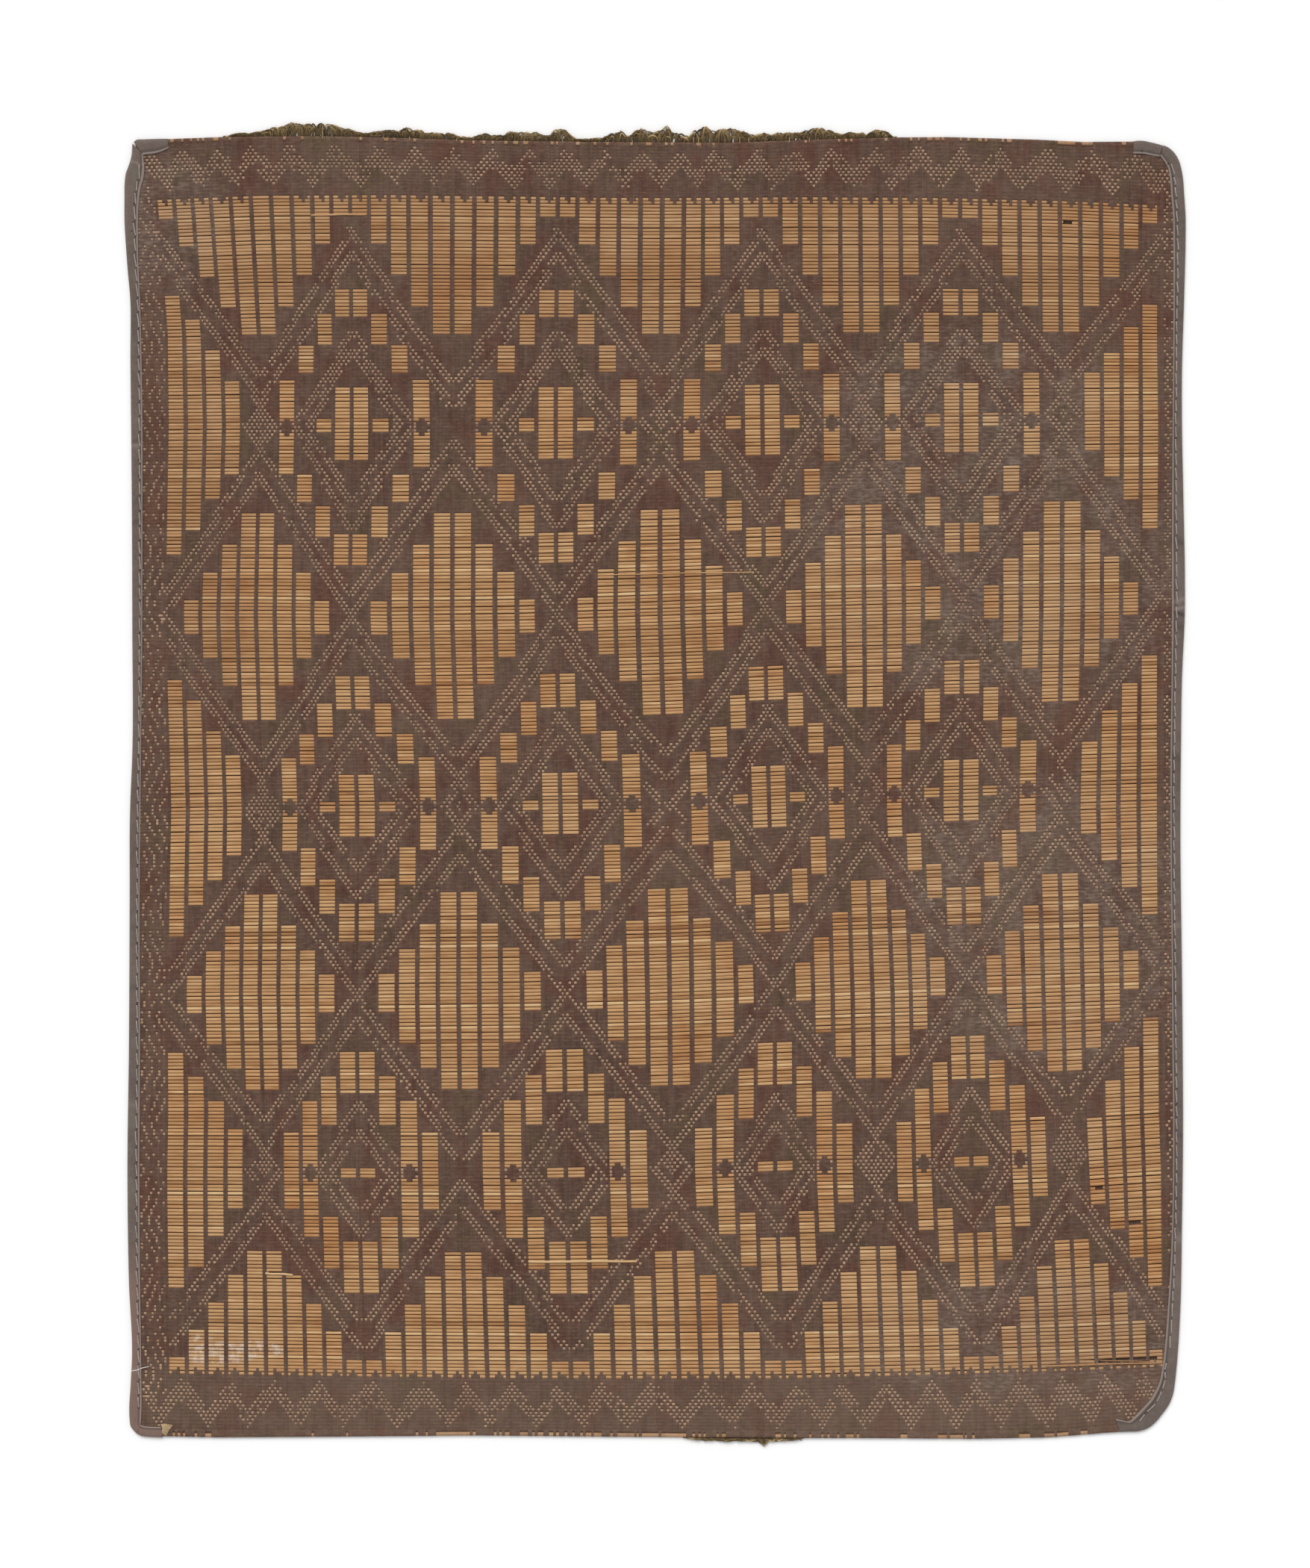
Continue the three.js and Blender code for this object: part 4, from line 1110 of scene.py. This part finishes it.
def smoothStations(table, spacing):
    # a rounded path through the stations, cut into equal steps along the outer fold
    table = np.array(table, float)
    length = np.concatenate([[0], np.cumsum(np.hypot(*np.diff(table[:, :2], axis=0).T))])
    at = np.linspace(0, length[-1], max(4, int(length[-1] / spacing)) + 1)
    slopes = np.gradient(table, length, axis=0)
    i = np.clip(np.searchsorted(length, at, side="right") - 1, 0, len(length) - 2)
    h = (length[i + 1] - length[i])[:, None]
    t = ((at - length[i]) / (length[i + 1] - length[i]))[:, None]
    p0, p1, m0, m1 = table[i], table[i + 1], slopes[i] * h, slopes[i + 1] * h
    start = (2 * t**3 - 3 * t**2 + 1) * p0 + (t**3 - 2 * t**2 + t) * m0
    return start + (3 * t**2 - 2 * t**3) * p1 + (t**3 - t**2) * m1


def foldPiece(name, spacing, lift):
    stations = smoothStations(bindings[name], spacing)
    ring = len(section)
    points, lips, foldShading = [], [], []
    for n, (ax, ay, bx, by) in enumerate(stations):
        puff = 0.18 * math.sin(n * spacing / 23.0) + 0.12 * math.sin(n * spacing / 7.7 + 1.3)
        for share, high, lip, grooveShade in section:
            across, down = ax + (bx - ax) * share, ay + (by - ay) * share
            z, bend = high + lift, 0.0
            if high > 4.3 and share < 0.97:
                z += puff * min(1.0, share * 3) * 0.6
                for at, half, rise in creases.get(name, []):
                    lean = at + 5 * (share - 0.5) * math.copysign(1, rise)
                    bend += rise * math.exp(-((down - lean) / half) ** 2)
                z += bend
            x, y = toFrame(across, down)
            points.append((float(x), float(y), z / 1000))
            lips.append(lip)
            foldShading.append(bend + grooveShade)
    faces = []
    for n in range(len(stations) - 1):
        for k in range(ring):
            a, b = n * ring + k, n * ring + (k + 1) % ring
            faces.append((a, b, b + ring, a + ring))
    faces += [tuple(range(ring - 1, -1, -1)), tuple(range(len(points) - ring, len(points)))]
    piece = meshPiece(name, points, faces, bindingFinish)
    # the attribute fold carries the painted shade and painted highlight of the creases and the groove
    for key, values in (("lip", lips), ("fold", foldShading)):
        piece.data.attributes.new(key, "FLOAT", "POINT").data.foreach_set("value", values)
    turnFaces(piece)
    report(name)


for name in bindings:
    edge = name.startswith("edge")
    foldPiece(name, spacing=2.2 if edge else 1.2, lift=0.0 if edge else 0.25)

# Stitches along the bindings: a pale thong that dives into a hole at both ends of each stitch
stitches = {
    "length": 0.84,  # share of a stitch's pitch that shows
    "thick": 1.5,
    "high": 6.4,
    "dive": 5.75,
    "holeHigh": 6.0,
    "rows": {
        # binding: pitch, share of the width at a stitch's start and end, first and last place down
        "edge_leather_left": (20.5, 0.68, 0.79, 216, 1896),
        "edge_leather_right": (18.5, 0.68, 0.60, 214, 1818),
    },
    # the bottom right curve is sewn with longer stitches, hole to hole
    "curve": [
        (1562.4, 1823), (1560, 1835.6), (1561, 1846), (1556.8, 1860.8), (1548.4, 1879), (1534.4, 1892),
        (1524.8, 1904.8),
    ],
    "thread": [(177, 1835.4), (184, 1834.2), (192, 1831.2), (200, 1829.5)],
    "slits": [
        (180, 273), (177, 310), (191.4, 205.6), (196.2, 198.6), (215.6, 195.2), (1529.5, 203),
        (1555.5, 204), (1575, 725), (1577, 781), (1564.5, 220), (1571, 237), (1575, 254.5), (186, 616),
        (186, 638),
    ],
    "seed": 3,
}
dice = np.random.default_rng(stitches["seed"])
stitchLines, holePlaces = [], []


def sewStitch(start, end, sag=0.0):
    t = np.linspace(0, 1, 6)
    across = start[0] + (end[0] - start[0]) * t + sag * np.sin(math.pi * t)
    high = stitches["dive"] + (stitches["high"] - stitches["dive"]) * np.sin(math.pi * t) ** 0.4
    stitchLines.append(toPoints(across, start[1] + (end[1] - start[1]) * t, high))
    holePlaces.extend([start, end])


for name, (pitch, startShare, endShare, firstDown, lastDown) in stitches["rows"].items():
    path = smoothStations(bindings[name], 1.0)
    at = 8.0
    while at + pitch < len(path):
        length = pitch * dice.uniform(0.9, 1.1)
        ends = []
        for place, share in ((at, startShare), (at + length * stitches["length"], endShare)):
            ax, ay, bx, by = path[min(int(place), len(path) - 1)]
            share += dice.uniform(-0.03, 0.03)
            ends.append((ax + (bx - ax) * share, ay + (by - ay) * share))
        if ends[0][1] > firstDown and ends[1][1] < lastDown:
            sewStitch(*ends, dice.uniform(-0.5, 0.5))
        at += length
for start, end in zip(stitches["curve"], stitches["curve"][1:]):
    along = np.array(end) - np.array(start)
    sewStitch(np.array(start) + along * 0.1, np.array(end) - along * 0.12)
girths = [stitches["thick"] / 1000] * len(stitchLines)
sweep("stitches", thongTree, paleFinish, stitchLines, 1.35, 0.75, girth=girths)

# The holes: small dark lenses sunk in the leather, painted shade that stands for the shade inside each stitch
# hole and slit, set out on points by Geometry Nodes
holeTree, source = newTree("stitchHoles", Size=0.001, Seed=1)
size = source["Size"]
lens = putNode(holeTree, "GeometryNodeMeshUVSphere", {"Segments": 8, "Rings": 5, "Radius": 1.0})["Mesh"]
lens = putNode(holeTree, "GeometryNodeSetShadeSmooth", {"Geometry": lens})["Geometry"]
thin = putNode(holeTree, "ShaderNodeMath", {0: size, 1: 0.3}, operation="MULTIPLY")[0]
flat = putNode(holeTree, "ShaderNodeCombineXYZ", {"X": size, "Y": size, "Z": thin})["Vector"]
# sockets 2 and 3 are the least and most of a random number, and output 1 is the number
vary = putNode(holeTree, "FunctionNodeRandomValue", {
    2: 0.7, 3: 1.15, "Seed": source["Seed"],
}, data_type="FLOAT")[1]
shrink = putNode(holeTree, "ShaderNodeVectorMath", {0: flat, "Scale": vary}, operation="SCALE")["Vector"]
scatter = putNode(holeTree, "GeometryNodeInstanceOnPoints", {
    "Points": source["Geometry"], "Instance": lens, "Scale": shrink,
})["Instances"]
endTree(holeTree, source, scatter)
across, down = np.transpose(holePlaces + stitches["slits"])
guide = meshPiece("holeGuide", toPoints(across, down, stitches["holeHigh"]), [])
runTree(guide, holeTree, "stitch_hole_shade", Size=0.00105, Seed=4, Material=holeShadeFinish)
report("stitches", "stitch_hole_shade")

# A white thread over the lower left binding and pale ties over the top rod
ties = {
    "thick": 0.9,
    "threadHigh": 6.6,
    "high": [5.2, 5.9, 6.3, 6.3, 5.9],
    "sway": [0, 0.3, -0.2, 0.2, 0],
    # across, and from where to where down the sheet
    "overRod": [
        (432.5, 168, 186), (929.4, 184, 192), (936, 184, 192), (991, 184, 192), (1003, 185, 191),
        (1057.5, 185, 192), (1084, 185, 191), (612, 186, 190), (549, 184, 189),
    ],
}
thread = toPoints(*np.transpose(stitches["thread"]), ties["threadHigh"])
sweep("white_thread", thongTree, threadFinish, [thread], 1.1, 0.8, girth=[ties["thick"] / 1000])
lines = []
for across, start, end in ties["overRod"]:
    lines.append(toPoints(across + np.array(ties["sway"]), np.linspace(start, end, 5), ties["high"]))
sweep("ties", thongTree, tanFinish, lines, 1.2, 0.8, girth=[ties["thick"] / 1000] * len(lines))

# Reeds that came loose and lie over the strips
looseReeds = [
    # start, end, width, height over the floor, tone
    ((708, 1689.4), (853, 1688.6), 3.3, 5.4, 1.1),
    ((356, 1704.9), (392.3, 1706.8), 2.9, 5.0, 0.95),
    ((417, 288.4), (490, 287.4), 2.8, 4.9, 0.75),
    ((806, 770), (1010, 766), 1.3, 5.1, 0.85),
    ((1398, 1829), (1557, 1824.5), 2.4, 4.9, 0.3),
    ((1470, 1821), (1552, 1824), 1.6, 4.2, 0.1),
]
lines, girths = [], []
for start, end, thick, high, _ in looseReeds:
    t = np.linspace(0, 1, 14)
    ends = np.clip(np.minimum(t, 1 - t) * 14, 0, 1)
    down = start[1] + (end[1] - start[1]) * t + 0.3 * np.sin(t * 8)
    lines.append(toPoints(start[0] + (end[0] - start[0]) * t, down, high - 1.2 * (1 - ends)))
    girths.append(thick * (0.9 + 0.1 * ends) / 1000)
sweep("loose_reeds", rodTree, straw, lines, 1.0, 0.7, girth=girths, tone=[reed[4] for reed in looseReeds],
      shown=[1.0] * len(lines))

# A torn flap of tan leather at the bottom left corner
tornFlap = {
    "edge": [
        (215.6, 1906.6), (221, 1905.8), (232, 1907.7), (230.5, 1911), (227.4, 1914.6), (225, 1919),
        (223, 1922.7), (219, 1920.4), (216.4, 1917.6), (217.5, 1912),
    ],
    "bottom": 5.35,
    "thick": 0.8,
    "levels": [(0.0, 1.0), (0.5, 1.0), (1.0, 0.94)],  # share of the thickness, scale of the edge
}
rim = np.stack(toFrame(*np.transpose(tornFlap["edge"])), axis=1)
count, middle = len(rim), rim.mean(axis=0)
points, faces = [], []
for level, scale in tornFlap["levels"]:
    for k, corner in enumerate(rim):
        lift = 0.5 * math.sin(k * 1.9) * 0.4
        high = tornFlap["bottom"] + lift + level * tornFlap["thick"]
        points.append((*(middle + (corner - middle) * scale), high / 1000))
points.append((*middle, (tornFlap["bottom"] + 0.1) / 1000))
points.append((*middle, (tornFlap["bottom"] + tornFlap["thick"] + 0.25) / 1000))
for k in range(count):
    n = (k + 1) % count
    for ring in (0, count):
        faces.append((ring + k, ring + n, ring + count + n, ring + count + k))
    faces.append((n, k, 3 * count))
    faces.append((2 * count + k, 2 * count + n, 3 * count + 1))
turnFaces(meshPiece("torn_flap", points, faces, tanFinish))

# Fringe: short leather thongs that lie in wavy heaps outside an end rod, up to this outer line
fringe = {
    # pitch along the rod, lowest and highest share of the heap's depth, sideways reach
    "layers": [(3.2, 0.3, 0.75, (4, 10)), (2.6, 0.6, 1.0, (6, 16)), (4.2, 0.85, 1.0, (8, 20))],
    "points": 9,
    "thick": 1.9,
    "leaning": [0.35, 0.65],  # share of the thongs that lean to the left and to the right
    "gap": 0.8,  # from a thong's middle to the outer line
    "leastRoom": 1.2,
    "tuck": 1.2,  # how far a thong reaches in under the rod
    "high": (0.9, 4.9),  # least and most height over the floor
    "topSpikes": [
        ((900, 180), (893, 167.5), 0.8, 2.6), ((856, 182), (858.8, 171), 1.0, 3.0),
        ((831, 182), (831.5, 174.5), 0.5, 2.4), ((865, 181), (872, 177), -1.0, 2.2),
    ],
    "bottomSpikes": [((1020, 1928), (1022.7, 1937), 0.4, 2.6), ((1068, 1926), (1074, 1929), 0.5, 2.0)],
    "seed": 5,
    "top": [
        (300, 184), (318, 178), (335, 178), (353, 175), (367, 170), (380, 167.5), (390, 163), (398, 164),
        (407, 166), (419, 164.5), (433, 163.7), (447, 166.5), (458, 171), (470, 173), (480, 177),
        (492, 178), (502, 176), (520, 174), (534, 174.6), (545, 169.7), (554, 174), (563, 173.5),
        (570, 178), (580, 177), (589, 178), (599, 176), (607, 178.6), (615, 183), (624, 182.6),
        (631, 184.5), (642, 180), (652, 178.6), (660, 181), (669, 179), (674, 181.7), (681, 176.7),
        (702, 176), (719, 177), (728, 181), (735, 181.7), (740, 175), (750, 172), (758, 174), (765, 181),
        (774, 186.6), (793, 185), (807, 185), (812, 181.7), (822, 177), (832, 174.6), (841, 182.4),
        (858.6, 171), (869, 176), (880, 176), (893, 168), (900, 176), (915, 178), (924, 184), (927, 176),
        (931, 173), (936, 174.6), (945, 167), (952, 172.5), (956, 176), (967, 171.6), (983, 171),
        (993, 174), (1011, 181), (1022, 177), (1033, 181), (1041, 177), (1050, 178.5), (1061, 176),
        (1073, 177), (1089, 171), (1106, 171.6), (1119, 177), (1126, 180), (1139, 176.6), (1147, 178),
        (1156, 177), (1161, 181), (1170, 173), (1182, 174.6), (1189, 176.6), (1195.5, 182), (1200.5, 184.5),
    ],
    "bottom": [
        (915, 1925), (930, 1928), (945, 1930), (960, 1929), (975, 1931), (990, 1930), (1005, 1931),
        (1016, 1931), (1022.7, 1937), (1030, 1931), (1045, 1930), (1060, 1929), (1075, 1927),
        (1080, 1925.5),
    ],
}
dice = np.random.default_rng(fringe["seed"])


def fringeLines(side, sign):
    # every thong leaves the rod, bends over below the heap's outer line and comes back beside it
    line = fringe[side]
    first, last = line[0][0], line[-1][0]
    lines, girths, tones = [], [], []
    t = np.linspace(0, 1, fringe["points"])
    for layer, (pitch, low, high, spread) in enumerate(fringe["layers"]):
        for n in range(int((last - first) / pitch)):
            at = first + (n + dice.random()) * pitch
            reach = dice.choice([-1, 1], p=fringe["leaning"]) * dice.uniform(*spread)
            across = at + reach * (1 - np.cos(math.pi * t)) / 2 + 0.6 * np.sin(t * 9 + n)
            across = np.clip(across, first, last)
            edge = alongTable(outline[side], across)
            room = np.abs(alongTable(line, across) - edge) - fringe["gap"]
            if room.max() < fringe["leastRoom"]:
                continue
            rise = np.clip(np.sin(math.pi * np.clip(t * 1.05, 0, 1)), 0, 1) ** 0.7
            up = np.maximum(room, 0.0) * rise * dice.uniform(low, high) - fringe["tuck"] * (1 - rise)
            height = 1.1 + (0.9 + 1.1 * layer) * rise + dice.uniform(0, 0.8) * np.sin(t * 6 + n)
            lines.append(toPoints(across, edge - sign * up, np.clip(height, *fringe["high"])))
            girths.append(fringe["thick"] * (0.75 + 0.35 * rise) * dice.uniform(0.75, 1.25) / 1000)
            # a thong's tone is partly random and partly painted: darker towards its ends low by the rod
            # (painted shade), lighter over its arch and in upper layers (painted highlight)
            tones.append(np.clip(dice.beta(2.2, 2.6) * (0.45 + 0.65 * rise) + 0.05 * layer, 0, 1))
    for start, end, tip, thick in fringe[side + "Spikes"]:
        across, down = np.linspace(start, end, 5).T
        lines.append(toPoints(across + tip * np.sin(np.linspace(0, 3.1, 5)), down, np.linspace(3.5, 2.0, 5)))
        girths.append(np.linspace(thick, 0.5, 5) / 1000)
        tones.append(0.55)
    return lines, girths, tones


for name, side, sign in (("thongs_top", "top", 1), ("thongs_bottom", "bottom", -1)):
    lines, girths, tones = fringeLines(side, sign)
    sweep(name, thongTree, fringeFinish, lines, 1.0, 0.8, girth=girths, tone=tones)
    report(name)

# What rides on the frame, what each piece stands for and where its finish comes from
stands = [
    ("reed", ["reeds_upper", "reeds_lower"], ["woven_panel"]),
    ("strip_leather", ["strips_left", "strips_middle", "strips_right"], ["woven_panel"]),
    ("reed", ["rod_top"], ["end_rod_top"]),
    ("reed", ["rod_bottom"], ["end_rod_bottom"]),
    ("binding_leather", ["edge_leather_left"], ["binding_left"]),
    ("binding_leather", ["edge_leather_right"], ["binding_right"]),
    ("binding_leather", ["patch_top_left"], ["corner_top_left"]),
    ("binding_leather", ["patch_top_right"], ["corner_top_right"]),
    ("binding_leather", ["patch_bottom_left"], ["corner_bottom_left"]),
    ("binding_leather", ["stitches", "stitch_hole_shade", "white_thread"], []),
    ("strip_leather", ["ties", "torn_flap"], []),
    ("reed", ["loose_reeds"], []),
    ("fringe_leather", ["thongs_top"], ["fringe_top_left", "fringe_top_mid", "fringe_top_right"]),
    ("fringe_leather", ["thongs_bottom"], ["fringe_bottom"]),
]
for slot, names, nodes in stands:
    for piece in [bpy.data.objects[name] for name in names]:
        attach(piece, "root")
        if nodes:
            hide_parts(*nodes)

# Floor, light and camera
stage = {"floorSize": 9.0, "lens": 135.0, "sensor": 36.0, "sky": 0.58, "sunStrength": 1.86, "sunSpread": 40.0}
half = stage["floorSize"] / 2
f = Finish("paleFloor")
f.ramp(f.noise(3.0), (0.3, "fbfbfb"), (0.7, "fdfdfd"))
corners = [(-half, -half, 0), (half, -half, 0), (half, half, 0), (-half, half, 0)]
meshPiece("floor", corners, [(0, 1, 2, 3)], f.done(0.9, gloss=0.1))

world = bpy.data.worlds.new("studio")
bpy.context.scene.world = world
world.use_nodes = True
world.node_tree.nodes["Background"].inputs["Color"].default_value = (1.0, 1.0, 1.0, 1.0)
world.node_tree.nodes["Background"].inputs["Strength"].default_value = stage["sky"]

# a broad sun lights the whole mat evenly, as a large studio screen does
sun = linked("keyLight", bpy.data.lights.new("keyLight", "SUN"))
sun.data.energy = stage["sunStrength"]
sun.data.angle = math.radians(stage["sunSpread"])
sun.rotation_euler = Vector((-0.25, 0.75, 1.0)).to_track_quat("Z", "Y").to_euler()

camera = linked("camera", bpy.data.cameras.new("camera"))
camera.data.type = "PERSP"
camera.data.lens = stage["lens"]
camera.data.sensor_width = stage["sensor"]
camera.data.dof.use_dof = False
camera.location = (0.0, frameShift, layout["height"] / 1000 * stage["lens"] / stage["sensor"])
camera.rotation_euler = (0.0, 0.0, 0.0)
camera.data.clip_end = 100.0
bpy.context.scene.camera = camera
bpy.context.scene.view_settings.view_transform = "Standard"
